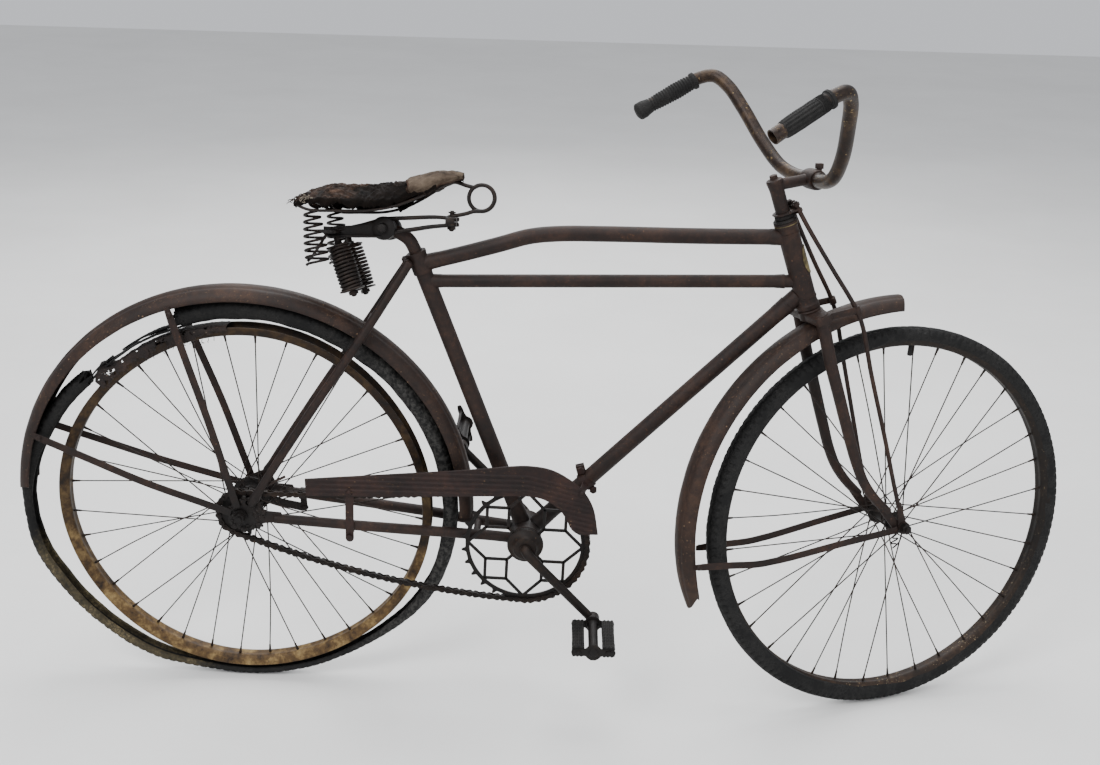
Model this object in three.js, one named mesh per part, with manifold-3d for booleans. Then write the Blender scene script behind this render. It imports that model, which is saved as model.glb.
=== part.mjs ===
// An old rusty bicycle with balloon-style mudguards, a coaster-brake rear wheel and a torn rear tyre
import * as THREE from 'three';
import { mergeVertices } from 'three/addons/utils/BufferGeometryUtils.js';
import Module from 'manifold-3d';

const wasm = await Module();
wasm.setup();

// Driving dimensions, in mm. The bicycle is drawn with zero in the middle of the rear axle,
// X forward, Y to the rider's left and Z up. The last lines move zero to the top of the saddle.
const RIDER = new THREE.Vector3(240, 0, 582);
const WHEELBASE = 1140;
const GAP = 0.3;

const HEAD_ANGLE = THREE.MathUtils.degToRad(71);
const HEAD_MIDDLE = new THREE.Vector3(935.5, 0, 466.8);
const STEER_LEFT = THREE.MathUtils.degToRad(19.6);
const HEAD_TOP_Z = 538;
const HEAD_BOTTOM_Z = 391;
const CROWN_TOP_Z = 386;
const CROWN_BOTTOM_Z = 372;

const BOTTOM_BRACKET = new THREE.Vector3(496, 0, -46);
const SEAT_LUG = new THREE.Vector3(301, 0, 468);
const CRANK_LENGTH = 178;
const CRANK_ANGLE = THREE.MathUtils.degToRad(-46.4);
const CRANK_ARM_Y = 77.5;
const CHAIN_Y = -48;
const CHAIN_PITCH = 25.4;
const RING_TEETH = 27;
const COG_TEETH = 10;

const RIM_SEGMENTS = 48;
const SPOKES = 36;
const SPOKE_RADIUS = 1.2;
const SPOKE_CROSS = THREE.MathUtils.degToRad(60);
const TYRE_RADIUS = 352;
const MUDGUARD_RADIUS = 402;
const MUDGUARD_LIP = 379;
const MUDGUARD_HALF_WIDTH = 30;
const MUDGUARD_SHEET = 1.8;
const DROPOUT_Y = 56;
const STAY_THICKNESS = 2.2;
const LOWER_STAY_Y = 63.5;
const UPPER_STAY_Y = 66;
const FORK_TIP_Y = 52;

const UP = new THREE.Vector3(0, 1, 0);
const TURN = 2 * Math.PI;
const v = (x, y, z) => new THREE.Vector3(x, y, z);
const rad = THREE.MathUtils.degToRad;
const pitchRadius = (teeth) => CHAIN_PITCH / (2 * Math.sin(Math.PI / teeth));
const STEER_AXIS = v(-Math.cos(HEAD_ANGLE), 0, Math.sin(HEAD_ANGLE));
const steerAt = (z) => HEAD_MIDDLE.clone().addScaledVector(STEER_AXIS, (z - HEAD_MIDDLE.z) / STEER_AXIS.z);

// Finishes
function finish(color, roughness, metalness) {
  return new THREE.MeshStandardMaterial({ color, roughness, metalness });
}
const OXBLOOD_RUST = finish(0x46342f, 0.7, 0.35);
const GUARD_RUST = finish(0x4a3230, 0.65, 0.35);
const OCHRE_RUST = finish(0x8a6a3c, 0.8, 0.25);
const BAR_RUST = finish(0x58453a, 0.6, 0.45);
const GREASY_STEEL = finish(0x241f1e, 0.6, 0.5);
const SPRING_STEEL = finish(0x3a302c, 0.65, 0.5);
const TYRE_RUBBER = finish(0x23262a, 0.85, 0);
const GRIP_RUBBER = finish(0x2b2b2d, 0.9, 0);
const OLD_LEATHER = finish(0x6a4f3d, 0.8, 0);

// Geometry helpers
function outward(geometry) {
  const bare = geometry.index ? geometry.toNonIndexed() : geometry;
  const p = bare.attributes.position;
  const [a, b, c] = [v(), v(), v()];
  let volume = 0;
  for (let i = 0; i < p.count; i += 3) {
    a.fromBufferAttribute(p, i);
    b.fromBufferAttribute(p, i + 1);
    c.fromBufferAttribute(p, i + 2);
    volume += a.dot(b.cross(c));
  }
  if (volume < 0) {
    for (let i = 0; i < p.count; i += 3) {
      b.fromBufferAttribute(p, i + 1);
      c.fromBufferAttribute(p, i + 2);
      p.setXYZ(i + 1, c.x, c.y, c.z);
      p.setXYZ(i + 2, b.x, b.y, b.z);
    }
  }
  bare.deleteAttribute('normal');
  bare.deleteAttribute('uv');
  const merged = mergeVertices(bare, 1e-3);
  merged.computeVertexNormals();
  return merged;
}

function toManifold(geometry) {
  const bare = geometry.clone();
  bare.deleteAttribute('normal');
  bare.deleteAttribute('uv');
  const merged = mergeVertices(bare, 1e-4);
  const vertProperties = new Float32Array(merged.attributes.position.array);
  const triVerts = new Uint32Array(merged.index.array);
  return new wasm.Manifold(new wasm.Mesh({ numProp: 3, vertProperties, triVerts }));
}

function toGeometry(manifold) {
  const mesh = manifold.getMesh();
  const geometry = new THREE.BufferGeometry();
  geometry.setAttribute('position', new THREE.BufferAttribute(mesh.vertProperties, 3));
  geometry.setIndex(new THREE.BufferAttribute(mesh.triVerts, 1));
  geometry.computeVertexNormals();
  return geometry;
}

const join = (...parts) => toGeometry(parts.map(toManifold).reduce((all, part) => all.add(part)));
const cut = (body, ...tools) => toGeometry(
  tools.map(toManifold).reduce((all, tool) => all.subtract(tool), toManifold(body)));

function reshape(geometry, move) {
  const p = geometry.attributes.position;
  const point = v();
  for (let i = 0; i < p.count; i += 1) {
    move(point.fromBufferAttribute(p, i));
    p.setXYZ(i, point.x, point.y, point.z);
  }
  return outward(geometry);
}

// A geometry drawn along +Y is laid along the line from one point to another
function layAlong(geometry, from, to) {
  const direction = to.clone().sub(from).normalize();
  geometry.applyQuaternion(new THREE.Quaternion().setFromUnitVectors(UP, direction));
  return geometry.translate(from.x, from.y, from.z);
}

function rod(from, to, radius, endRadius = radius, sides = 12) {
  const length = from.distanceTo(to);
  const cylinder = new THREE.CylinderGeometry(endRadius, radius, length, sides).translate(0, length / 2, 0);
  return layAlong(outward(cylinder), from, to);
}

function lathe(profile, segments) {
  const points = profile.map(([radius, along]) => new THREE.Vector2(radius, along));
  return outward(new THREE.LatheGeometry(points, segments));
}

// A ring of rectangular section round the Y axis
const collar = (inner, outer, low, high, segments = 24) => lathe(
  [[inner, low], [outer, low], [outer, high], [inner, high], [inner, low]], segments);

function circle(radius) {
  const shape = new THREE.Shape();
  shape.absarc(0, 0, radius, 0, TURN);
  return shape;
}

function tube(points, radius, steps = 24, sides = 12) {
  const extrudePath = new THREE.CatmullRomCurve3(points, false, 'centripetal');
  const options = { extrudePath, steps, curveSegments: sides / 2, bevelEnabled: false };
  return outward(new THREE.ExtrudeGeometry(circle(radius), options));
}

// A flat bar from one point to another, its thin side facing as nearly along Y, or another way, as it can
function strap(from, to, width, thickness, facing = UP) {
  const along = to.clone().sub(from);
  const length = along.length();
  along.normalize();
  const across = new THREE.Vector3().crossVectors(along, facing).normalize();
  const thin = new THREE.Vector3().crossVectors(across, along);
  const box = new THREE.BoxGeometry(width, length, thickness).translate(0, length / 2, 0);
  box.applyMatrix4(new THREE.Matrix4().makeBasis(across, along, thin.negate()));
  return outward(box.translate(from.x, from.y, from.z));
}

// A flat plate drawn in X and Z, between two values of Y
function plate(shape, low, high, curveSegments = 12) {
  const slab = new THREE.ExtrudeGeometry(shape, { depth: high - low, bevelEnabled: false, curveSegments });
  return outward(slab.rotateX(Math.PI / 2).translate(0, high, 0));
}

function outline(points) {
  return new THREE.Shape(points.map(([x, z]) => new THREE.Vector2(x, z)));
}

// A section bent round an arc: its x is Y, its y is the radius, in the plane of X and Z
function bent(section, centre, startDegrees, endDegrees, steps) {
  const bar = new THREE.ExtrudeGeometry(section, { depth: 1, steps, bevelEnabled: false, curveSegments: 4 });
  return reshape(bar, (p) => {
    const angle = rad(startDegrees + (endDegrees - startDegrees) * p.z);
    p.set(centre.x + p.y * Math.cos(angle), p.x, centre.z + p.y * Math.sin(angle));
  });
}

// Reads a table of [position, value] rows, smoothly between its rows
function smoothTable(rows, position) {
  const last = rows.length - 1;
  if (position <= rows[0][0]) return rows[0][1];
  if (position >= rows[last][0]) return rows[last][1];
  const i = rows.findIndex((row) => row[0] > position);
  const [[p0, v0], [p1, v1]] = [rows[i - 1], rows[i]];
  return v0 + (v1 - v0) * THREE.MathUtils.smootherstep(position, p0, p1);
}

// Assembly groups: the fixed frame, and the steered part turned to the left about the head tube
const bicycle = new THREE.Group();
bicycle.position.copy(RIDER).negate();
const steeringPivot = new THREE.Group();
const steering = new THREE.Group();
steeringPivot.position.copy(HEAD_MIDDLE);
steeringPivot.quaternion.setFromAxisAngle(STEER_AXIS, STEER_LEFT);
steering.position.copy(HEAD_MIDDLE).negate();
steeringPivot.add(steering);
bicycle.add(steeringPivot);

function add(name, geometry, material, parent = bicycle) {
  const mesh = new THREE.Mesh(geometry, material);
  mesh.name = name;
  parent.add(mesh);
  return mesh;
}

const SIDES = [['right', -1], ['left', 1]];

// Main frame
const SEAT_TUBE_DIRECTION = SEAT_LUG.clone().sub(BOTTOM_BRACKET).normalize();
const seatTubeAt = (z) => BOTTOM_BRACKET.clone()
  .addScaledVector(SEAT_TUBE_DIRECTION, (z - BOTTOM_BRACKET.z) / SEAT_TUBE_DIRECTION.z);
const BRACKET_SHELL_RADIUS = 28;
const BRACKET_SPACE_RADIUS = 28.6;
const bracketSpace = rod(v(496, -60, -46), v(496, 60, -46), BRACKET_SPACE_RADIUS, BRACKET_SPACE_RADIUS, 24);
const MAIN_TUBE_RADIUS = 14.3;
const SEAT_LUG_RADIUS = 17;
const SEAT_POST_RADIUS = 11;
const DOWN_TUBE = [v(508, 0, -34), v(942, 0, 411)];
const HEAD_LENGTH = (HEAD_TOP_Z - HEAD_BOTTOM_Z) / STEER_AXIS.z;
const headTubeProfile = (grow) => [[20, 0], [20, 9], [18, 12], [18, HEAD_LENGTH - 12], [20, HEAD_LENGTH - 9],
  [20, HEAD_LENGTH]].map(([radius, along]) => [radius + grow, along]);
const headSpace = layAlong(lathe([[0, -20], [20, -20], ...headTubeProfile(0.5), [20, HEAD_LENGTH + 20],
  [0, HEAD_LENGTH + 20]], 20), steerAt(HEAD_BOTTOM_Z), steerAt(HEAD_TOP_Z));

// The room that a round rod takes, with a gap all round it
const spaceOf = (from, to, radius, sides = 16) => rod(from, to, radius + GAP, radius + GAP, sides);
const seatTubeSpace = spaceOf(seatTubeAt(-40), seatTubeAt(500), MAIN_TUBE_RADIUS);
const seatLugSpace = spaceOf(seatTubeAt(400), seatTubeAt(500), SEAT_LUG_RADIUS);
const downTubeSpace = spaceOf(...DOWN_TUBE, MAIN_TUBE_RADIUS);

function addMainFrame() {
  const headTube = lathe([[14.5, 0], ...headTubeProfile(0), [14.5, HEAD_LENGTH], [14.5, 0]], 20);
  add('head_tube', layAlong(headTube, steerAt(HEAD_BOTTOM_Z), steerAt(HEAD_TOP_Z)), OXBLOOD_RUST);

  const upperBarPath = [[905, 511], [760, 508.5], [620, 507.5], [540, 505.5], [491, 499.5], [440, 484],
    [377, 465.5], [305, 446]].map(([x, z]) => v(x, 0, z));
  add('upper_bar', cut(tube(upperBarPath, 13.2, 14), headSpace, seatLugSpace), OXBLOOD_RUST);

  const lowerBar = rod(v(322, 0, 417.5), v(945, 0, 436), 11.1, 11.1, 16);
  add('lower_bar', cut(lowerBar, headSpace, seatTubeSpace), OXBLOOD_RUST);

  const downTube = rod(...DOWN_TUBE, MAIN_TUBE_RADIUS, MAIN_TUBE_RADIUS, 16);
  add('down_tube', cut(downTube, headSpace, bracketSpace), OXBLOOD_RUST);

  const seatTube = rod(seatTubeAt(-40), seatTubeAt(440), MAIN_TUBE_RADIUS, MAIN_TUBE_RADIUS, 16);
  const seatLug = rod(seatTubeAt(432), SEAT_LUG, SEAT_LUG_RADIUS, SEAT_LUG_RADIUS, 16);
  const postSpace = spaceOf(seatTubeAt(443), seatTubeAt(480), SEAT_POST_RADIUS + GAP);
  add('seat_tube', cut(join(seatTube, seatLug), bracketSpace, postSpace), OXBLOOD_RUST);

  const shell = collar(22, BRACKET_SHELL_RADIUS, -35, 35, 24);
  add('bottom_bracket', shell.translate(496, 0, -46), OXBLOOD_RUST);
}

function addRearTriangle(side, sign) {
  const stayPath = [[466, 25, -44], [430, 27, -40], [385, 31, -36], [330, 38, -30], [230, 46, -21],
    [120, 53, -11], [58, 57.5, -5]].map(([x, y, z]) => v(x, sign * y, z));
  const dropoutShape = outline([[-22, -16], [-22, 12], [-9, 22], [12, 33], [26, 34], [34, 26], [40, 10],
    [70, 6], [72, -12], [40, -14], [12, -20], [-8, -22]]);
  const halfDropout = 1.8;
  const dropout = plate(dropoutShape, -halfDropout, halfDropout);
  dropout.translate(0, sign * (DROPOUT_Y + halfDropout), 0);
  const axleHole = rod(v(0, sign * 50, 0), v(0, sign * 66, 0), 5.2, 5.2, 16);
  const chainStay = cut(join(tube(stayPath, 9.3, 12, 10), dropout), bracketSpace, axleHole);
  add(`chain_stay_${side}`, chainStay, OXBLOOD_RUST);

  const seatStayPath = [[289, 20, 449], [256, 33, 395], [226, 42.5, 347], [126, 53, 194.5], [30.5, 61.2, 47]]
    .map(([x, y, z]) => v(x, sign * y, z));
  add(`seat_stay_${side}`, cut(tube(seatStayPath, 7.5, 10, 10), seatLugSpace), OXBLOOD_RUST);
}

function addMudguard(name, centre, startDegrees, endDegrees, parent) {
  const section = new THREE.Shape();
  const depth = MUDGUARD_RADIUS - MUDGUARD_LIP;
  const half = MUDGUARD_HALF_WIDTH;
  const sheet = MUDGUARD_SHEET;
  section.moveTo(half, MUDGUARD_LIP);
  section.absellipse(0, MUDGUARD_LIP, half, depth, 0, Math.PI, false);
  section.lineTo(sheet - half, MUDGUARD_LIP);
  section.absellipse(0, MUDGUARD_LIP, half - sheet, depth - sheet, Math.PI, 0, true);
  return add(name, bent(section, centre, startDegrees, endDegrees, 20), OXBLOOD_RUST, parent);
}

function addRearMudguard() {
  addMudguard('rear_mudguard', v(0, 0, 0), -2, 177.5, bicycle);
  const stays = [['upper', UPPER_STAY_Y, -111, 360], ['lower', LOWER_STAY_Y, -361, 128]];
  for (const [place, eyeY, x, z] of stays) {
    for (const [side, sign] of SIDES) {
      const eye = collar(5.4, 12, -STAY_THICKNESS / 2, STAY_THICKNESS / 2, 16).translate(0, sign * eyeY, 0);
      const edge = v(x, 0, z).setLength(11.4).setY(sign * eyeY);
      const stay = strap(v(x, sign * (MUDGUARD_HALF_WIDTH + 1.6), z), edge, 13, STAY_THICKNESS);
      add(`rear_stay_${place}_${side}`, join(eye, stay), OXBLOOD_RUST);
    }
  }
}

// Ribbed chain guard, shaped like a hockey stick, with its top edge folded inwards
function addChainGuard() {
  const top = [[114, 72], [348, 94], [416, 101], [465, 107], [500, 109], [538, 103], [571, 85], [594, 65],
    [611, 35], [621, -16]];
  const bottom = [[590, -17], [577, -8], [568, 10], [556, 28], [534, 45], [507, 53], [436, 52], [348, 48],
    [115, 42]];
  const sheet = plate(outline([...top, ...bottom]), -62, -59.5);
  const foldInside = top.map(([x, z]) => [x - (x > 560 ? 2 : 0.3), z - 2]).reverse();
  const fold = plate(outline([...top, ...foldInside]), -62, -57);
  const clip = strap(v(585, -60, 80), v(612, -8, 55), 12, 3);
  const strapDown = strap(v(190, -60.5, 44), v(188, -60.5, -42), 11, 2.4);
  add('chain_guard', cut(join(sheet, fold, strapDown, clip), downTubeSpace), GUARD_RUST);
}

// Chain: two side-plate bands round ring and cog, with rollers on the free runs only
function chainPath() {
  const ringRadius = pitchRadius(RING_TEETH);
  const cogRadius = pitchRadius(COG_TEETH);
  const points = [];
  const run = (from, to, sag) => {
    const count = Math.round(from.distanceTo(to) / CHAIN_PITCH);
    for (let i = 1; i < count; i += 1) {
      const t = i / count;
      points.push({ p: from.clone().lerp(to, t).add(v(0, 0, -4 * sag * t * (1 - t))), free: true });
    }
  };
  const arc = (centre, radius, startDegrees, endDegrees, steps) => {
    for (let i = 0; i <= steps; i += 1) {
      const angle = rad(startDegrees + (endDegrees - startDegrees) * i / steps);
      const p = centre.clone().add(v(radius * Math.cos(angle), 0, radius * Math.sin(angle)));
      points.push({ p, free: false });
    }
  };
  const cog = v(0, 0, 0);
  arc(BOTTOM_BRACKET, ringRadius, -94, 91, 16);
  run(points.at(-1).p, v(0, 0, cogRadius), 9);
  arc(cog, cogRadius, 91, 262, 8);
  run(points.at(-1).p, points[0].p, 22);
  return points;
}

function addChain() {
  const points = chainPath();
  const offset = (amount) => points.map(({ p }, i) => {
    const before = points.at(i - 1).p;
    const after = points[(i + 1) % points.length].p;
    const along = after.clone().sub(before).normalize();
    return [p.x + along.z * amount, p.z - along.x * amount];
  });
  const loop = outline(offset(4.5));
  loop.holes.push(outline(offset(-4.5)));
  const plateMiddle = 4.2;
  const halfPlate = 0.9;
  const bands = [-1, 1].map((side) => {
    const middle = CHAIN_Y + side * plateMiddle;
    return plate(loop, middle - halfPlate, middle + halfPlate);
  });
  const clearOf = (p, centre, teeth) => p.distanceTo(centre) > pitchRadius(teeth) + 9.5;
  const clearOfTeeth = (p) => clearOf(p, BOTTOM_BRACKET, RING_TEETH) && clearOf(p, v(0, 0, 0), COG_TEETH);
  const rollers = points
    .filter(({ p, free }) => free && clearOfTeeth(p))
    .map(({ p }) => rod(v(p.x, CHAIN_Y - 4.5, p.z), v(p.x, CHAIN_Y + 4.5, p.z), 3.6, 3.6, 5));
  add('chain', join(...bands, ...rollers), GREASY_STEEL);
}

// Toothed outline for inch-pitch chain, with narrow pointed teeth
function toothed(teeth) {
  const root = pitchRadius(teeth) - 4;
  const tip = pitchRadius(teeth) + 3.4;
  const points = [];
  for (let i = 0; i < teeth; i += 1) {
    const middle = TURN * i / teeth;
    for (const [radius, half] of [[root, 4.6], [tip, 1.2], [tip, -1.2], [root, -4.6]]) {
      const angle = middle - half / radius;
      points.push([radius * Math.cos(angle), radius * Math.sin(angle)]);
    }
  }
  return points;
}

// The saddle has slipped round its post: it leans to the left and its nose points a little to the right
const SADDLE_LEAN = THREE.MathUtils.degToRad(-15);
const SADDLE_YAW = THREE.MathUtils.degToRad(-6);
const SEAT_CLAMP_RADIUS = 17;
const SADDLE_WIRE_RADIUS = 3.1;
const seatClampAt = (y) => v(254, y, 506);

function tilted(geometry) {
  const { x, y, z } = seatClampAt(0);
  return geometry.translate(-x, -y, -z).rotateX(SADDLE_LEAN).rotateZ(SADDLE_YAW).translate(x, y, z);
}

function addSaddle() {
  const postPath = [seatTubeAt(447), seatTubeAt(470), v(291, 0, 487), v(276, 0, 498), v(256, 0, 505.5)];
  const clampSpace = spaceOf(seatClampAt(-40), seatClampAt(40), SEAT_CLAMP_RADIUS, 20);
  const clamp = rod(seatClampAt(-34), seatClampAt(34), SEAT_CLAMP_RADIUS, SEAT_CLAMP_RADIUS, 20);
  const rodSpace = [-1, 1].map((sign) => spaceOf(v(364, sign * 13, 522), v(240, sign * 23, 508),
    SADDLE_WIRE_RADIUS, 8));
  add('saddle_clamp', tilted(cut(clamp, ...rodSpace)), GREASY_STEEL);

  const block = new THREE.BoxGeometry(13, 40, 15).translate(362, 0, 523);
  const wires = [-1, 1].map((sign) => rod(v(364, sign * 13, 522), v(241, sign * 22.9, 508),
    SADDLE_WIRE_RADIUS, SADDLE_WIRE_RADIUS, 6));
  const coilTurn = new THREE.TorusGeometry(21.5, 3.4, 6, 14).rotateX(Math.PI / 2);
  const coil = [-3, 3].map((y) => coilTurn.clone().translate(410, y, 563));
  const lead = tube([v(398, 0, 544), v(385, 0, 534), v(364, 0, 527)], 3.2, 4, 6);
  const nose = tube([v(392, 0, 576), v(386, 0, 581), v(366, 0, 583)], 3.2, 4, 6);
  const front = join(outward(block), ...wires, ...coil.map(outward), lead, nose);
  add('saddle_wires', tilted(front), SPRING_STEEL);

  const ABOVE = v(0, 0, 1);
  const carrierSheet = 5;
  const carrierArms = [-1, 1].map((sign) => {
    const front = v(239, sign * 27, 506);
    return strap(front, v(170, sign * 44, 496), 24, carrierSheet, ABOVE);
  });
  const crossBar = strap(v(178, -96, 496), v(178, 96, 496), 20, carrierSheet, ABOVE);
  const crossSpace = strap(v(178, -97, 496), v(178, 97, 496), 20 + 2 * GAP, carrierSheet + 2 * GAP, ABOVE);
  add('spring_carrier', tilted(cut(join(...carrierArms, crossBar), clampSpace, ...rodSpace)), GREASY_STEEL);
  for (const [side, sign] of SIDES) {
    const barrelTop = v(184, sign * 42, 472);
    const barrelFoot = v(211, sign * 42, 402);
    const barrel = rod(barrelTop, barrelFoot, 19, 19, 20);
    const hanger = rod(v(176, sign * 42, 493), v(190, sign * 42, 457), 5, 5, 8);
    add(`barrel_spring_${side}`, tilted(cut(join(barrel, hanger), crossSpace)), SPRING_STEEL);
    const coilEnds = [v(145, sign * 74, 525), v(158, sign * 74, 445)];
    add(`coil_spring_${side}`, tilted(coilSpring(...coilEnds, 12, 17, 5)), SPRING_STEEL);
  }
  add('seat_post', cut(tube(postPath, SEAT_POST_RADIUS, 14), tilted(clampSpace)), BAR_RUST);
}

// An open coil whose radius grows from its first end to its middle
function coilSpring(from, to, endRadius, middleRadius, turns) {
  const points = [];
  const steps = turns * 9;
  const length = from.distanceTo(to);
  for (let i = 0; i <= steps; i += 1) {
    const t = i / steps;
    const radius = endRadius + (middleRadius - endRadius) * Math.sin(Math.PI * Math.min(t * 1.25, 1) / 2);
    points.push(v(radius * Math.cos(TURN * turns * t), length * t, radius * Math.sin(TURN * turns * t)));
  }
  return layAlong(tube(points, 2.1, steps, 4), from, to);
}

// Leather saddle top: half width, top height and droop of its edge by distance forward
const SADDLE_HALF_WIDTH = [[112, 66], [130, 94], [178, 102], [235, 74], [290, 42], [340, 30], [366, 25],
  [376, 14]];
const SADDLE_TOP = [[112, 549], [141, 565], [170, 574], [223, 576], [252, 580], [280, 586], [292, 592],
  [317, 599], [349, 605], [376, 603]];
const SADDLE_DROOP = [[112, 12], [150, 24], [200, 28], [260, 27], [302, 20], [340, 15], [376, 5]];
const SADDLE_BACK_X = SADDLE_TOP[0][0];
const SADDLE_FRONT_X = SADDLE_TOP.at(-1)[0];
const LEATHER_THICKNESS = 13;

function addLeather() {
  const box = new THREE.BoxGeometry(1, 1, 1, 17, 8, 1);
  add('saddle_leather', tilted(reshape(box, (p) => {
    const x = THREE.MathUtils.lerp(SADDLE_BACK_X, SADDLE_FRONT_X, p.x + 0.5);
    const across = 2 * p.y;
    const top = smoothTable(SADDLE_TOP, x) - smoothTable(SADDLE_DROOP, x) * across * across;
    p.set(x, across * smoothTable(SADDLE_HALF_WIDTH, x), top - (p.z < 0 ? LEATHER_THICKNESS : 0));
  })), OLD_LEATHER);
}

// Wheels: rim profile as [radius, across], closed on itself
const RIM_PROFILE = [[326, -18], [310, -12.5], [310, 12.5], [326, 18], [326, 15.8], [312.3, 10.6],
  [312.3, -10.6], [326, -15.8], [326, -18]];
const SPOKE_BED_RADIUS = 311;

// How far the bent rear rim stands out from a circle, by its harmonics of the turn
const bentRim = (angle) => -0.6 * Math.cos(3 * angle) - 1.8 * Math.sin(3 * angle)
  + 1.5 * Math.cos(4 * angle) - 1.6 * Math.sin(4 * angle);

function rimWithSpokes(flangeRadius, flangeY, rimOffset) {
  const rim = reshape(lathe(RIM_PROFILE, RIM_SEGMENTS), (p) => {
    const angle = Math.atan2(p.z, p.x);
    const radius = Math.hypot(p.x, p.z) + rimOffset(angle);
    p.set(radius * Math.cos(angle), p.y, radius * Math.sin(angle));
  });
  const spokes = [];
  for (let i = 0; i < SPOKES; i += 1) {
    const rimAngle = TURN * (i + 0.5) / SPOKES;
    const side = i % 2 ? 1 : -1;
    const lean = Math.floor(i / 2) % 2 ? 1 : -1;
    const hubAngle = rimAngle + lean * SPOKE_CROSS;
    const hubY = side * (flangeY + (lean > 0 ? 4.8 : -3.4));
    const bed = SPOKE_BED_RADIUS + rimOffset(rimAngle);
    const from = v(flangeRadius * Math.cos(hubAngle), hubY, flangeRadius * Math.sin(hubAngle));
    const to = v(bed * Math.cos(rimAngle), side * 3, bed * Math.sin(rimAngle));
    spokes.push(rod(from, to, SPOKE_RADIUS, SPOKE_RADIUS, 3));
  }
  return join(rim, ...spokes);
}

function addRearWheel() {
  add('rear_rim', rimWithSpokes(29, 29, bentRim), OCHRE_RUST);
  const hub = lathe([[6, -41.5], [12, -41.5], [17, -36], [19, -31], [33, -30.5], [33, -27.5], [21, -26],
    [21, 26], [33, 27.5], [33, 30.5], [24, 31], [22, 40], [14, 46], [6, 46], [6, -41.5]], 20);
  add('rear_hub', hub, GREASY_STEEL);

  const cog = outline(toothed(COG_TEETH));
  cog.holes.push(circle(9));
  add('rear_cog', plate(cog, CHAIN_Y - 1.2, CHAIN_Y + 1.2, 10), GREASY_STEEL);

  const axle = rod(v(0, -80, 0), v(0, 80, 0), 4.8);
  const nuts = SIDES.map(([, sign]) => {
    const inner = v(0, sign * (UPPER_STAY_Y + 1.5), 0);
    return rod(inner, v(0, sign * (UPPER_STAY_Y + 11), 0), 9, 9, 6);
  });
  add('rear_axle', join(axle, ...nuts), GREASY_STEEL);

  const armFrom = v(18, 52.5, -17);
  const arm = strap(armFrom, v(96, 52.5, -34), 15, 3);
  const disc = collar(5.4, 24, 51, 54, 24);
  add('brake_arm', cut(join(disc, arm), rod(v(58, 57.5, -5), v(120, 53, -11), 9.7, 9.7, 12)), GREASY_STEEL);
}

// Loose rear tyre, by angle in degrees from straight ahead, going over the top and round the back:
// [angle, middle radius, thickness]. From 108 to 137 only a torn strip of casing is left.
const LOOSE_TYRE = [[-180, 389, 19], [-165, 389, 22], [-154, 379, 21], [-138, 368, 20], [-120, 358, 18],
  [-108, 347, 14], [-90, 341.5, 11], [-60, 342, 12], [-46, 348, 16], [-33, 358, 22], [-22, 363, 24],
  [-8, 362, 26], [20, 360, 28], [57, 358, 30], [87, 360, 32], [103, 357, 32], [108, 341, 10],
  [136, 341, 11], [140, 350, 26], [155, 366, 28], [167, 380, 27], [175, 387, 24], [180, 389, 19]];

function addLooseTyre() {
  const round = new THREE.TorusGeometry(1, 0.5, 8, 64).rotateX(Math.PI / 2);
  const radii = LOOSE_TYRE.map(([angle, radius]) => [angle, radius]);
  const thicknesses = LOOSE_TYRE.map(([angle, , thickness]) => [angle, thickness]);
  add('loose_tyre', reshape(round, (p) => {
    const angle = Math.atan2(p.z, p.x);
    const out = Math.hypot(p.x, p.z) - 1;
    const degrees = THREE.MathUtils.radToDeg(angle);
    const thickness = smoothTable(thicknesses, degrees);
    const radius = smoothTable(radii, degrees) + out * thickness;
    p.set(radius * Math.cos(angle), p.y * 2 * Math.min(19, 9 + thickness / 2), radius * Math.sin(angle));
  }), TYRE_RUBBER);
}

function addFrontWheel(wheel) {
  add('front_rim', rimWithSpokes(17, 30, () => 0), OCHRE_RUST, wheel);
  const hub = lathe([[5.4, -42], [9, -42], [12, -36], [13, -32], [20.5, -31.5], [20.5, -28.5], [13, -27],
    [13, 27], [20.5, 28.5], [20.5, 31.5], [13, 32], [12, 36], [9, 42], [5.4, 42], [5.4, -42]], 18);
  add('front_hub', hub, GREASY_STEEL, wheel);
  const half = [[TYRE_RADIUS, 0], [346.6, 13.1], [333.5, 18.5], [322, 13.4], [313.2, 9]];
  const mirrored = half.slice(1).reverse().map(([radius, across]) => [radius, -across]);
  add('front_tyre', lathe([...half, ...mirrored, half[0]], 54), TYRE_RUBBER, wheel);
}

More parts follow.
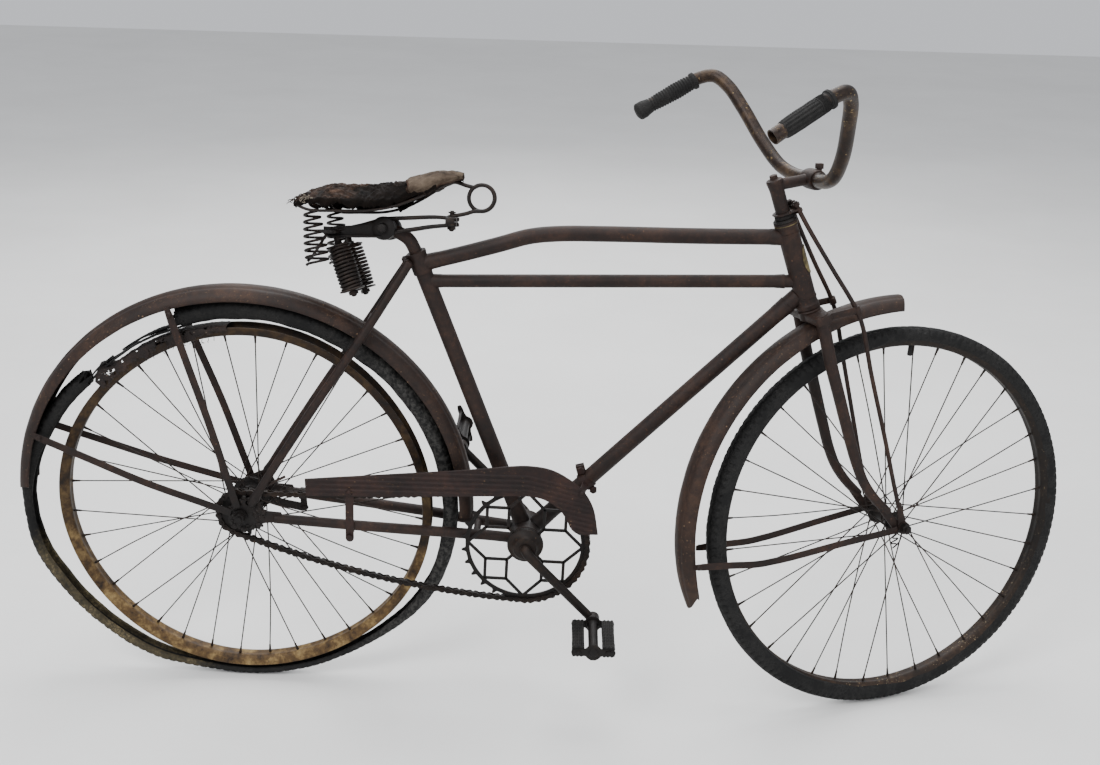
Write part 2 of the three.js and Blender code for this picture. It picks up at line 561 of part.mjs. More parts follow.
function addFork() {
  const crownLow = steerAt(CROWN_BOTTOM_Z);
  const crownHigh = steerAt(CROWN_TOP_Z);
  const crownBlock = strap(crownLow, crownHigh, 30, 106);
  const steerer = rod(crownHigh.clone().lerp(crownLow, 0.3), steerAt(548), 12.7, 12.7, 16);
  const race = rod(crownHigh.clone().lerp(crownLow, 0.1), steerAt(HEAD_BOTTOM_Z - 0.4), 18, 18, 24);
  add('fork_crown', join(crownBlock, steerer, race), OXBLOOD_RUST, steering);

  for (const [side, sign] of SIDES) {
    const start = crownLow.clone().addScaledVector(STEER_AXIS, -GAP);
    const path = [[start.x, 43, start.z], [985, 44, 307], [1006, 46, 240], [1028, 48, 170], [1044, 50, 123],
      [1060, 50, 88], [1082, 50, 58], [1108, 50, 33]].map(([x, y, z]) => v(x, sign * y, z));
    const halfTip = 2.5;
    const eye = collar(5, 12, -halfTip, halfTip, 16).translate(WHEELBASE, sign * FORK_TIP_Y, 0);
    const tip = strap(v(1102, sign * FORK_TIP_Y, 38), v(WHEELBASE, sign * FORK_TIP_Y, 0), 22, 2 * halfTip);
    const hole = rod(v(WHEELBASE, sign * 40, 0), v(WHEELBASE, sign * 66, 0), 5, 5, 12);
    const crownSpace = rod(start, crownHigh, 60, 60, 8);
    const blade = cut(join(tube(path, 10, 15, 10), tip, eye), hole, crownSpace);
    add(`fork_blade_${side}`, blade, OXBLOOD_RUST, steering);
  }
  const axle = rod(v(WHEELBASE, -76, 0), v(WHEELBASE, 76, 0), 4.7);
  const nuts = SIDES.map(([, sign]) => {
    const inner = v(WHEELBASE, sign * 62.2, 0);
    return rod(inner, v(WHEELBASE, sign * 71, 0), 8.5, 8.5, 6);
  });
  add('front_axle', join(axle, ...nuts), GREASY_STEEL, steering);
}

function addHeadset() {
  const low = steerAt(HEAD_TOP_Z + 0.4);
  const high = steerAt(548);
  const bore = rod(steerAt(500), steerAt(600), 13, 13, 16);
  const nut = join(rod(low, steerAt(543), 18, 16.5, 24), rod(steerAt(542), high, 15.5, 15.5, 8));
  add('headset_nut', cut(nut, bore), GREASY_STEEL, steering);
}

function addTruss() {
  const bracketFrom = steerAt(549).add(v(-14, 0, 3));
  const bracket = strap(bracketFrom, v(932, 0, 559), 34, 3, STEER_AXIS);
  const eye = cut(bracket, rod(steerAt(500), steerAt(600), 11.4, 11.4, 16));
  add('truss_bracket', eye, OXBLOOD_RUST, steering);
  for (const [side, sign] of SIDES) {
    const path = [[926, 12, 562], [945, 18, 528], [985, 31, 462], [1026, 42, 397], [1040, 45.5, 366],
      [1062, 48, 280], [1093, 54, 166], [1113, 57.5, 90], [1130, 58.5, 30]];
    const eye = rod(v(WHEELBASE, sign * 55.6, 0), v(WHEELBASE, sign * 58.2, 0), 10, 10, 16);
    const tail = strap(v(1128, sign * 56.9, 36), v(WHEELBASE, sign * 56.9, 0), 9, 2.6);
    const hole = rod(v(WHEELBASE, sign * 50, 0), v(WHEELBASE, sign * 66, 0), 5, 5, 12);
    const bracketSpace = rod(v(922, sign * 11, 569), v(930, sign * 13.5, 554.5), 8, 8, 8);
    const bentRod = tube(path.map(([x, y, z]) => v(x, sign * y, z)), 3.8, 15, 8);
    const trussRod = cut(join(bentRod, tail, eye), hole, bracketSpace);
    add(`truss_rod_${side}`, trussRod, OXBLOOD_RUST, steering);
  }
}

// Handlebar, given for the left half as [X, Y, Z] from the stem clamp to the end of the grip
const BAR_HALF = [[958, 0, 606], [955, 28, 606], [950, 62, 609], [943, 98, 621], [931, 143, 657],
  [914, 186, 710], [898, 218, 749], [880, 238, 767], [856, 247, 762], [804, 254, 731], [751, 260, 700]];
const BAR_RADIUS = 11.1;
const GRIP_RADIUS = 15.5;
const barPoint = (row, sign) => v(row[0], sign * row[1], row[2]);
const GRIP_START = BAR_HALF.at(-3);
const GRIP_END = BAR_HALF.at(-1);

function addHandlebar() {
  const rightHalf = BAR_HALF.map((row) => barPoint(row, -1)).reverse();
  const points = [...rightHalf, ...BAR_HALF.slice(1).map((row) => barPoint(row, 1))];
  const bar = tube(points, BAR_RADIUS, 36, 8);
  add('handlebar', bar, BAR_RUST, steering);
  const barSpace = tube(points, BAR_RADIUS + GAP, 36, 8);

  const quill = rod(steerAt(549), steerAt(604), 11, 11, 16);
  const extension = rod(steerAt(600), v(950, 0, 606), 9.5, 9.5, 14);
  const clamp = rod(v(958, -18, 606), v(958, 18, 606), 17, 17, 20);
  add('stem', cut(join(quill, extension, clamp), barSpace), OXBLOOD_RUST, steering);

  for (const [side, sign] of SIDES) {
    const end = barPoint(GRIP_END, sign);
    const start = barPoint(GRIP_START, sign);
    const stop = sign > 0 ? end.clone().lerp(start, -0.06) : end.clone().lerp(start, 0.16);
    const grip = rod(start.clone().lerp(stop, 0.06), stop, GRIP_RADIUS, GRIP_RADIUS, 16);
    add(`grip_${side}`, cut(grip, barSpace), GRIP_RUBBER, steering);
  }
}

function addFrontMudguard() {
  const centre = v(WHEELBASE - 3, 0, 2);
  addMudguard('front_mudguard', centre, 90, 199, steering);
  for (const [side, sign] of SIDES) {
    const eye = collar(5.2, 11, -1.1, 1.1, 20).translate(WHEELBASE, sign * 60.1, 0);
    const stay = strap(v(759, sign * 31.6, -44), v(WHEELBASE - 8, sign * 60.1, -2), 12, 2.2);
    add(`front_stay_${side}`, join(eye, stay), OXBLOOD_RUST, steering);
  }
}

// One-piece crank, chainring with its pattern of squares and struts, and the pedals
function addCrank() {
  const centre = (y) => v(BOTTOM_BRACKET.x, y, BOTTOM_BRACKET.z);
  const arm = v(Math.cos(CRANK_ANGLE), 0, Math.sin(CRANK_ANGLE)).multiplyScalar(CRANK_LENGTH);
  const spindle = rod(centre(-CRANK_ARM_Y - 3), centre(CRANK_ARM_Y + 3), 9, 9, 12);
  const hubDisc = rod(centre(-66), centre(-50.5), 20, 31, 20);
  const cone = rod(centre(50), centre(62), 20, 13, 16);
  const arms = SIDES.flatMap(([, sign]) => {
    const end = centre(sign * CRANK_ARM_Y).addScaledVector(arm, -sign);
    const boss = rod(end.clone().add(v(0, -9, 0)), end.clone().add(v(0, 9, 0)), 12, 12, 12);
    return [rod(centre(sign * CRANK_ARM_Y), end, 9.5, 8, 10), boss];
  });
  add('crank', join(spindle, hubDisc, cone, ...arms), OXBLOOD_RUST);

  const ring = outline(toothed(RING_TEETH));
  ring.holes.push(circle(99.8));
  const low = CHAIN_Y - 1.2;
  const high = CHAIN_Y + 1.2;
  const bars = [];
  for (let quarter = 0; quarter < 4; quarter += 1) {
    const turn = quarter * Math.PI / 2 + rad(-1.5);
    const corner = (x, z) => v(x, CHAIN_Y, z).applyAxisAngle(UP, -turn);
    const [near, far, apex, disc] = [31, 69, 102, 20];
    const square = [[near, near, far, near], [near, near, near, far], [far, near, far, far],
      [near, far, far, far]];
    const links = [...square, [far, near, apex, 0], [near, far, 0, apex], [far, far, 73, 73],
      [disc, disc, near, near]];
    bars.push(...links.map(([x0, z0, x1, z1]) => strap(corner(x0, z0), corner(x1, z1), 5.4, 2.4)));
  }
  const disc = plate(circle(32), low, high, 12);
  const pattern = join(plate(ring, low, high, 20), disc, ...bars);
  pattern.translate(BOTTOM_BRACKET.x, 0, BOTTOM_BRACKET.z);
  add('chainring', cut(pattern, rod(centre(-70), centre(-30), 9 + GAP, 9 + GAP, 16)), GREASY_STEEL);
  addPedals(arm);
}

const PEDAL_INNER_Y = 92;
const PEDAL_OUTER_Y = 190;
const LEFT_PEDAL_TILT = rad(72);

function addPedals(arm) {
  for (const [side, sign] of SIDES) {
    const pedal = new THREE.Group();
    pedal.position.set(BOTTOM_BRACKET.x - sign * arm.x, 0, BOTTOM_BRACKET.z - sign * arm.z);
    pedal.rotation.y = sign > 0 ? LEFT_PEDAL_TILT : 0;
    bicycle.add(pedal);
    const axle = rod(v(0, sign * (CRANK_ARM_Y + 9.3), 0), v(0, sign * PEDAL_OUTER_Y, 0), 4.5, 4.5, 10);
    const barrel = rod(v(0, sign * (PEDAL_INNER_Y + 1), 0), v(0, sign * (PEDAL_OUTER_Y + 3), 0), 10, 9, 14);
    const plates = [PEDAL_INNER_Y, PEDAL_OUTER_Y - 2].map((y) => {
      const shape = outline([[-37, -4], [-37, 4], [-14, 6], [0, 15], [14, 6], [37, 4], [37, -4], [14, -6],
        [0, -15], [-14, -6]]);
      return plate(shape, Math.min(sign * y, sign * (y + 2.5)), Math.max(sign * y, sign * (y + 2.5)));
    });
    add(`pedal_cage_${side}`, join(axle, barrel, ...plates), GREASY_STEEL, pedal);
    if (sign > 0) continue;
    for (const [place, x] of [['front', 26], ['back', -26]]) {
      const block = new THREE.BoxGeometry(21, PEDAL_OUTER_Y - PEDAL_INNER_Y - 5.4, 22);
      block.translate(x, sign * (PEDAL_INNER_Y + PEDAL_OUTER_Y + 0.5) / 2, 0);
      add(`pedal_rubber_${place}`, outward(block), GRIP_RUBBER, pedal);
    }
  }
}

addMainFrame();
for (const [side, sign] of SIDES) addRearTriangle(side, sign);
addRearMudguard();
addChainGuard();
addChain();
addSaddle();
addLeather();
addRearWheel();
addLooseTyre();
addFork();
addHeadset();
addTruss();
addHandlebar();
addFrontMudguard();
const frontWheel = new THREE.Group();
frontWheel.position.x = WHEELBASE;
steering.add(frontWheel);
addFrontWheel(frontWheel);
addCrank();

export default bicycle;
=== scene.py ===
"""Looks for an old rusty bicycle: its metal, rubber, leather and chain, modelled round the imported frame.

Pieces are drawn in millimetres with zero in the middle of the rear axle, X forward, Y to the rider's left and
Z up, and those that steer are drawn with the wheel straight. settle() moves each one to the frame's metres.
"""
import math
import bpy
from mathutils import Matrix, Vector, noise


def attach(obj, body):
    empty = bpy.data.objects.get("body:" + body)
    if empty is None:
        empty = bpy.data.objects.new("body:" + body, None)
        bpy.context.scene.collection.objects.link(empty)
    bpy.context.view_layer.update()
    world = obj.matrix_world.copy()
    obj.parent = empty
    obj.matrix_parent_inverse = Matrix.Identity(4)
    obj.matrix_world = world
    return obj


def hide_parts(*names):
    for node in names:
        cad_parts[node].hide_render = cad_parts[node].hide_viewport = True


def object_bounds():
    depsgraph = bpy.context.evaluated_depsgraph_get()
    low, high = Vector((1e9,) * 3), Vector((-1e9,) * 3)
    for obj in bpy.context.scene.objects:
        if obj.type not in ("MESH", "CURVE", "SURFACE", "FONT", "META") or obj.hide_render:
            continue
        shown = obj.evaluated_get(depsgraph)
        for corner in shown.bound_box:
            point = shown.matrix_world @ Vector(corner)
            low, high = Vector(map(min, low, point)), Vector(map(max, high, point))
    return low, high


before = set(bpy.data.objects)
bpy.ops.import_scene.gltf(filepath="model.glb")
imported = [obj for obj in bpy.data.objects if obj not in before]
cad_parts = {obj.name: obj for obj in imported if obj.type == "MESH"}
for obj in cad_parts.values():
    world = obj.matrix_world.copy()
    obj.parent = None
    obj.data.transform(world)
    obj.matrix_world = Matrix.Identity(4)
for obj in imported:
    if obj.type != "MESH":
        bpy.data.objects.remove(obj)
cad_low, cad_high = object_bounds()

# Driving dimensions, in millimetres and degrees
MM = 0.001
RIDER = Vector((240, 0, 582))
WHEELBASE = 1140
HEAD_ANGLE = 71
HEAD_MIDDLE = Vector((935.5, 0, 466.8))
STEER_LEFT = 19.6
HEAD_TOP_Z, HEAD_BOTTOM_Z = 538, 391
BOTTOM_BRACKET = Vector((496, 0, -46))
SEAT_LUG = Vector((301, 0, 468))
CRANK_LENGTH, CRANK_ANGLE, CRANK_ARM_Y = 178, -46.4, 77.5
CHAIN_Y, CHAIN_PITCH, RING_TEETH, COG_TEETH = -48, 25.4, 27, 10
SPOKES, SPOKE_CROSS = 36, 60
TYRE_RADIUS = 352
MUDGUARD_RADIUS, MUDGUARD_LIP, MUDGUARD_HALF_WIDTH = 402, 379, 30
DROPOUT_Y, LOWER_STAY_Y, UPPER_STAY_Y, FORK_TIP_Y = 56, 63.5, 66, 52
DOWN_TUBE_FOOT, DOWN_TUBE_TOP = Vector((508, 0, -34)), Vector((942, 0, 411))
PEDAL_INNER_Y, PEDAL_OUTER_Y, LEFT_PEDAL_TILT = 92, 190, 72
SADDLE_BACK_X, SADDLE_TOP_LENGTH, SADDLE_TIP_X = 112, 226, 378
RIM_BED, FRONT_RIM_OUT = 311, 4.5
TREAD_BEAT = 0.43
BAR_MIDDLE, BAR_RADIUS, GRIP_RADIUS = Vector((958, 0, 606)), 11.5, 15.2
TUBE_RADIUS, WHEEL_PLATE_HALF = 14.3, 1.3
SIDES = (("right", -1), ("left", 1))
Y_AXIS = Vector((0, 1, 0))

STEER_AXIS = Vector((-math.cos(math.radians(HEAD_ANGLE)), 0, math.sin(math.radians(HEAD_ANGLE))))
SEAT_TUBE_LINE = (SEAT_LUG - BOTTOM_BRACKET).normalized()
CRANK_WAY = Vector((math.cos(math.radians(CRANK_ANGLE)), 0, math.sin(math.radians(CRANK_ANGLE))))
SADDLE_PIVOT = Vector((254, 0, 506))
SADDLE_TILT = (Matrix.Translation(SADDLE_PIVOT) @ Matrix.Rotation(math.radians(-6), 4, "Z")
               @ Matrix.Rotation(math.radians(-15), 4, "X") @ Matrix.Translation(-SADDLE_PIVOT))
TO_ROW = Matrix.Scale(MM, 4) @ Matrix.Translation(-RIDER)
TURNED = (Matrix.Translation(HEAD_MIDDLE) @ Matrix.Rotation(math.radians(STEER_LEFT), 4, STEER_AXIS)
          @ Matrix.Translation(-HEAD_MIDDLE))
STEERED_BODIES = ("steering", "front_wheel")


def steer_at(z):
    """The point of the steering axis at that height."""
    return HEAD_MIDDLE + STEER_AXIS * ((z - HEAD_MIDDLE.z) / STEER_AXIS.z)


def seat_tube_at(z):
    """The point of the seat tube's middle line at that height."""
    return BOTTOM_BRACKET + SEAT_TUBE_LINE * ((z - BOTTOM_BRACKET.z) / SEAT_TUBE_LINE.z)


def around(centre, radius, degrees, y=0.0):
    """A point on a circle round a centre, counted from straight ahead and upwards."""
    angle = math.radians(degrees)
    return Vector((centre[0] + radius * math.cos(angle), y, centre[2] + radius * math.sin(angle)))


def between(rows, position):
    """Reads a table of (position, value) rows, smoothly between its rows."""
    if position <= rows[0][0]:
        return rows[0][1]

    def slope(i):
        (p0, v0), (p1, v1) = rows[max(i - 1, 0)], rows[min(i + 1, len(rows) - 1)]
        return (v1 - v0) / (p1 - p0)
    for i, ((p0, v0), (p1, v1)) in enumerate(zip(rows, rows[1:])):
        if position <= p1:
            width = p1 - p0
            t = (position - p0) / width
            rise = v1 - v0
            start, end = slope(i) * width, slope(i + 1) * width
            return v0 + t * (start + t * (3 * rise - 2 * start - end + t * (start + end - 2 * rise)))
    return rows[-1][1]


def hump(value, middle, width):
    """One at the middle, falling smoothly to nothing past its width on both sides."""
    return math.exp(-((value - middle) / width) ** 2)


def ripple(x, y, z):
    """Smooth noise between about -1 and 1, the same at each run."""
    return noise.noise(Vector((x, y, z)))


def round_section(points):
    """Degrees round a section, in even steps, with nothing beside them."""
    return [(360 * i / points, 0) for i in range(points)]


# Shader maths
class Wire:
    """A node's output whose maths is written as Python."""

    def __init__(self, finish, socket):
        self.finish, self.socket = finish, socket

    def maths(self, operation, *values):
        return self.finish.node("ShaderNodeMath", {"operation": operation}, *values)

    def __add__(self, other):
        return self.maths("ADD", self, other)

    def __radd__(self, other):
        return self.maths("ADD", other, self)

    def __sub__(self, other):
        return self.maths("SUBTRACT", self, other)

    def __rsub__(self, other):
        return self.maths("SUBTRACT", other, self)

    def __mul__(self, other):
        return self.maths("MULTIPLY", self, other)

    def __rmul__(self, other):
        return self.maths("MULTIPLY", other, self)

    def __truediv__(self, other):
        return self.maths("DIVIDE", self, other)

    def above(self, edge, width):
        """Nothing below an edge, and one from a width above it."""
        return self.finish.ramp(self, [(edge, 0.0), (edge + width, 1.0)])


class Finish:
    """One procedural material, read from Object coordinates."""

    def __init__(self, name):
        self.material = bpy.data.materials.new(name)
        self.material.use_nodes = True
        self.tree = self.material.node_tree
        self.shader = next(n for n in self.tree.nodes if n.type == "BSDF_PRINCIPLED")
        coordinates = self.tree.nodes.new("ShaderNodeTexCoord")
        self.place = Wire(self, coordinates.outputs["Object"])

    def node(self, kind, settings, *values, out=0, **named):
        """Adds a node: its settings first, then what its sockets get, by place or by name."""
        made = self.tree.nodes.new(kind)
        for key, value in settings.items():
            if key == "stops":
                elements = made.color_ramp.elements
                while len(elements) < len(value):
                    elements.new(1.0)
                for element, (position, colour) in zip(elements, value):
                    element.position = position
                    element.color = colour
            else:
                setattr(made, key, value)
        targets = list(enumerate(values)) + [(key.replace("_", " "), value) for key, value in named.items()]
        for key, value in targets:
            if isinstance(value, Wire):
                self.tree.links.new(value.socket, made.inputs[key])
            else:
                made.inputs[key].default_value = value
        return Wire(self, made.outputs[out])

    def ramp(self, factor, stops):
        """A ramp of numbers or of colours, by its stops."""
        full = [(p, (*c, 1.0) if isinstance(c, tuple) else (c, c, c, 1.0)) for p, c in stops]
        return self.node("ShaderNodeValToRGB", {"stops": full}, factor)

    def stretched(self, scale):
        return self.node("ShaderNodeMapping", {}, self.place, Scale=scale)

    def grain(self, scale, detail=5.0, roughness=0.6, distortion=0.0, place=None):
        return self.node("ShaderNodeTexNoise", {}, Vector=place or self.place, Scale=scale, Detail=detail,
                         Roughness=roughness, Distortion=distortion)

    def near(self, centre, reach):
        """One at a place, fading to nothing at a distance of reach metres, with a ragged edge."""
        away = self.node("ShaderNodeVectorMath", {"operation": "DISTANCE"}, self.place, tuple(centre), out=1)
        return self.ramp(away / reach + (self.grain(60.0) - 0.5) * 0.5, [(0.35, 1.0), (1.0, 0.0)])

    def height(self, low, high):
        """Nothing below one height and one above another, with a ragged edge."""
        z = self.node("ShaderNodeSeparateXYZ", {}, self.place, out=2)
        return self.ramp((z - low) / (high - low) + (self.grain(12.0) - 0.5) * 0.9, [(0.0, 0.0), (1.0, 1.0)])

    def wear(self):
        """What a piece's points hold about where it is worn; on the saddle's leather it also holds painted
        shadow.
        """
        return self.node("ShaderNodeAttribute", {"attribute_name": "wear"}, out=2)

    def cells(self, scale, feature="F1"):
        return self.node("ShaderNodeTexVoronoi", {"feature": feature}, Vector=self.place, Scale=scale)

    def blend(self, factor, low, high, way="MIX"):
        """Mixes two colours, each a wire or three numbers."""
        colours = [c if isinstance(c, Wire) else (*c, 1.0) for c in (low, high)]
        mix = self.tree.nodes.new("ShaderNodeMix")
        mix.data_type = "RGBA"
        mix.blend_type = way
        for index, value in ((0, factor), (6, colours[0]), (7, colours[1])):
            if isinstance(value, Wire):
                self.tree.links.new(value.socket, mix.inputs[index])
            else:
                mix.inputs[index].default_value = value
        return Wire(self, mix.outputs[2])

    def done(self, colour, roughness, metallic=0.0, height=None, relief=0.0, strength=0.6, specular=0.5):
        """Joins what varies to the shader. relief is the bump's depth in metres."""
        for key, value in (("Base Color", colour), ("Roughness", roughness), ("Metallic", metallic)):
            if isinstance(value, Wire):
                self.tree.links.new(value.socket, self.shader.inputs[key])
            elif isinstance(value, tuple):
                self.shader.inputs[key].default_value = (*value, 1.0)
            else:
                self.shader.inputs[key].default_value = value
        self.shader.inputs["Specular IOR Level"].default_value = specular
        if height:
            bump = self.node("ShaderNodeBump", {}, Height=height, Strength=strength, Distance=relief)
            self.tree.links.new(bump.socket, self.shader.inputs["Normal"])
        return self.material


# Middles of the places caked with grease, and how far it reaches, in the frame's metres
GREASY_PLACES = [(TO_ROW @ Vector((8, -20, -4)), 0.135), (TO_ROW @ BOTTOM_BRACKET, 0.068),
                 (TO_ROW @ TURNED @ Vector((WHEELBASE, 0, 0)), 0.075)]


def rusted(name, deep, middle, bright, fleck, flecks=0.5, metallic=0.2, rough=0.62, relief=0.0006,
           patch=14.0, greasy=False, above=None):
    """Old paint gone to rust: broad patches, finer blotches, bright flecks and a pitted surface."""
    f = Finish(name)
    broad = f.grain(patch, 3.0, 0.55, 0.4)
    blotch = f.grain(85.0, 6.0, 0.68, 0.3)
    fine = f.grain(650.0, 3.0, 0.6)
    pits = f.cells(420.0)
    tone = broad * 0.5 + blotch * 0.5
    colour = f.ramp(tone, [(0.36, deep), (0.5, middle), (0.66, bright)])
    # above paints shade: from its low height to its high one the colour is multiplied darker, and the flecks
    # thin out there
    if above:
        low, high, painted_shade_multiplier = above
        upper = f.height(low, high)
        colour = f.blend(upper, colour, f.blend(1.0, colour, painted_shade_multiplier, "MULTIPLY"))
        flecks = flecks * (1.0 - upper * 0.85)
    freckle = (f.grain(260.0, 4.0, 0.75).above(0.60, 0.05) * f.grain(34.0, 2.0, 0.5).above(0.47, 0.12)
               * flecks)
    chip = f.cells(95.0)
    pale = (1.0 - chip.above(0.10, 0.05)) * f.grain(21.0, 2.0, 0.5).above(0.56, 0.05) * flecks
    colour = f.blend(freckle, colour, fleck)
    colour = f.blend(pale * 0.8, colour, tuple(min(1.0, 1.5 * c + 0.03) for c in fleck))
    colour = f.blend(fine.above(0.42, 0.3) * 0.34,
                     f.blend(1.0, colour, (0.66, 0.63, 0.60), "MULTIPLY"), colour)
    roughness = blotch * 0.34 + (rough - 0.17) + freckle * 0.12
    if greasy:
        for centre, reach in GREASY_PLACES:
            caked = f.near(centre, reach)
            colour = f.blend(caked * 0.92, colour, (0.0027, 0.0019, 0.0016))
    height = blotch * 0.45 + fine * 0.35 + pits * 0.3 + freckle * 0.3 + pale * 0.3
    return f.done(colour, roughness, metallic, height, relief, 0.75, 0.3)


def rubber(name, base, dust, crack=0.5):
    """Cracked, dusty rubber. Wear above nothing shows its ochre cloth, below nothing a grey scuff."""
    f = Finish(name)
    broad = f.grain(18.0, 4.0, 0.6, 0.5)
    blotch = f.grain(120.0, 5.0, 0.7)
    fine = f.grain(900.0, 2.0, 0.6)
    line = 1.0 - f.cells(150.0, "DISTANCE_TO_EDGE").above(0.0, 0.10)
    where = broad.above(0.42, 0.2)
    worn = (blotch * 0.6 + broad * 0.4).above(0.46, 0.16)
    colour = f.blend(worn * 0.8, base, dust)
    wear = f.wear()
    cloth = f.ramp(broad * 0.5 + blotch * 0.5, [(0.38, (0.016, 0.0135, 0.0085)),
                                                (0.52, (0.055, 0.044, 0.0235)),
                                                (0.64, (0.16, 0.125, 0.068))])
    ochre = (wear + (blotch - 0.5) * 0.5).above(0.35, 0.3) * wear.above(0.02, 0.1)
    colour = f.blend(ochre * 0.9, colour, cloth)
    grey = (0.0 - wear) * (blotch * 0.7 + fine * 0.3).above(0.44, 0.14)
    colour = f.blend(grey.above(0.1, 0.7) * 0.6, colour, (0.052, 0.050, 0.047))
    colour = f.blend(line * where * crack * (1.0 - worn), colour,
                     f.blend(1.0, dust, (1.5, 1.5, 1.5), "MULTIPLY"))
    colour = f.blend(line * where * crack * worn, colour, (0.0018, 0.0018, 0.0018))
    height = blotch * 0.35 + fine * 0.2 - line * where * 0.9
    return f.done(colour, 0.6 + blotch * 0.3, 0.0, height, 0.0008, 0.85, 0.22)


FINISHES = {"frame": rusted("oxblood_rust", (0.0080, 0.0046, 0.0038), (0.021, 0.0108, 0.0082),
                            (0.050, 0.0255, 0.0165), (0.15, 0.068, 0.03), 0.45, greasy=True),
            "guard": rusted("guard_rust", (0.0078, 0.0038, 0.0034), (0.0185, 0.0088, 0.0076),
                            (0.040, 0.0185, 0.0140), (0.16, 0.095, 0.042), 0.55, greasy=True),
            "mudguard": rusted("mudguard_rust", (0.010, 0.0054, 0.0042), (0.025, 0.0132, 0.0094),
                               (0.058, 0.031, 0.0195), (0.21, 0.13, 0.07), 0.6, patch=8.0),
            "bar": rusted("bar_rust", (0.0105, 0.0064, 0.0048), (0.0265, 0.0155, 0.0105),
                          (0.085, 0.054, 0.030), (0.40, 0.29, 0.13), 1.0, 0.4, 0.46, patch=24.0),
            "grease": rusted("greasy_steel", (0.0030, 0.0025, 0.0023), (0.0075, 0.0052, 0.0044),
                             (0.020, 0.0125, 0.0092), (0.075, 0.038, 0.022), 0.35, 0.3, 0.58, 0.0009),
            "spring": rusted("spring_rust", (0.0050, 0.0037, 0.0033), (0.0125, 0.0083, 0.0068),
                             (0.034, 0.021, 0.015), (0.13, 0.075, 0.045), 0.5, 0.4, 0.5),
            "chain": rusted("chain_rust", (0.0045, 0.0031, 0.0026), (0.0115, 0.0073, 0.0055),
                            (0.032, 0.019, 0.012), (0.10, 0.055, 0.028), 0.5, 0.35, 0.6),
            "spoke": rusted("spoke_rust", (0.008, 0.0055, 0.0047), (0.018, 0.012, 0.0095),
                            (0.04, 0.025, 0.017), (0.12, 0.07, 0.04), 0.4, 0.4, 0.55),
            # Both rims are multiplied darker upwards from near their bottoms by above: painted shade over
            # their rust
            "rear_rim": rusted("ochre_rim_rust_and_painted_shade", (0.022, 0.0125, 0.0070), (0.118, 0.070, 0.026),
                               (0.38, 0.27, 0.115), (0.012, 0.0065, 0.0045), 1.0, 0.3, 0.58,
                               patch=26.0, above=(-0.80, -0.50, (0.20, 0.165, 0.14))),
            "front_rim": rusted("dark_rim_rust_and_painted_shade", (0.0075, 0.0050, 0.0038), (0.024, 0.0145, 0.0098),
                                (0.070, 0.043, 0.026), (0.56, 0.46, 0.29), 1.0, 0.3, 0.6, patch=9.0,
                                above=(-0.86, -0.70, (0.38, 0.40, 0.42))),
            "threads": rubber("stuffing_threads", (0.10, 0.085, 0.065), (0.30, 0.26, 0.21), 0.0),
            "badge": rusted("badge_rust", (0.04, 0.03, 0.015), (0.13, 0.105, 0.045), (0.34, 0.28, 0.12),
                            (0.03, 0.014, 0.009), 0.9, 0.35, 0.5, patch=40.0),
            "tyre": rubber("perished_tyre", (0.0030, 0.0030, 0.0031), (0.0165, 0.0160, 0.0152), 0.9),
            "rear_tyre": rubber("perished_rear_tyre", (0.0024, 0.0024, 0.0025), (0.0145, 0.0137, 0.0128),
                                0.9),
            "torn_strip": rusted("torn_strip_cloth", (0.0045, 0.0035, 0.0032), (0.014, 0.0088, 0.0075),
                                 (0.045, 0.026, 0.019), (0.13, 0.10, 0.075), 0.7, 0.0, 0.8, 0.0012),
            "grip": rubber("grip_rubber", (0.0045, 0.0043, 0.0042), (0.0175, 0.0168, 0.0160), 0.5),
            "pedal_rubber": rubber("pedal_rubber", (0.0045, 0.0042, 0.0040), (0.022, 0.020, 0.018), 0.5)}


def old_leather():
    """Dry leather: black where wear is nothing, which is greasy leather and also painted shadow on the
    saddle's hanging skirt and in its folds' hollows, brown at a half, and pale near one.
    """
    f = Finish("old_leather")
    broad = f.grain(22.0, 4.0, 0.6, 0.8)
    folds = f.grain(60.0, 5.0, 0.62, 1.4, f.stretched((0.5, 1.0, 1.0)))
    pores = f.cells(700.0)
    scuff = f.grain(240.0, 5.0, 0.75).above(0.52, 0.14)
    wear = f.wear() + (broad - 0.5) * 0.35
    mix = broad * 0.45 + folds * 0.55
    dark = f.ramp(mix, [(0.35, (0.0010, 0.0007, 0.0006)), (0.62, (0.0068, 0.0044, 0.0032))])
    brown = f.ramp(mix, [(0.38, (0.0040, 0.0023, 0.0016)), (0.52, (0.0195, 0.0108, 0.0072)),
                         (0.66, (0.076, 0.045, 0.031))])
    pale = f.ramp(mix, [(0.36, (0.014, 0.0096, 0.0064)), (0.5, (0.045, 0.0325, 0.0235)),
                        (0.64, (0.100, 0.077, 0.056))])
    colour = f.blend(wear.above(0.22, 0.24), dark, brown)
    colour = f.blend(wear.above(0.62, 0.22), colour, pale)
    colour = f.blend(scuff * wear.above(0.2, 0.3) * 0.3, colour, (0.13, 0.09, 0.068))
    height = folds * 0.9 + pores * 0.12 + scuff * 0.15
    return f.done(colour, 0.58 + folds * 0.4, 0.0, height, 0.0018, 0.9, 0.07)


FINISHES["leather"] = old_leather()


# Modelling helpers, all in millimetres
def only(piece):
    """Selects one piece and nothing else, and makes it the active one."""
    bpy.ops.object.select_all(action="DESELECT")
    piece.select_set(True)
    bpy.context.view_layer.objects.active = piece
    return piece


def modified(piece, kind, **settings):
    """Adds a modifier and applies it."""
    only(piece)
    modifier = piece.modifiers.new(kind.lower(), kind)
    for key, value in settings.items():
        setattr(modifier, key, value)
    bpy.ops.object.modifier_apply(modifier=modifier.name)
    return piece


def bevelled(piece, width, segments=2):
    """Breaks a piece's sharp edges."""
    return modified(piece, "BEVEL", width=width, segments=segments, limit_method="ANGLE",
                    angle_limit=math.radians(35), harden_normals=False)


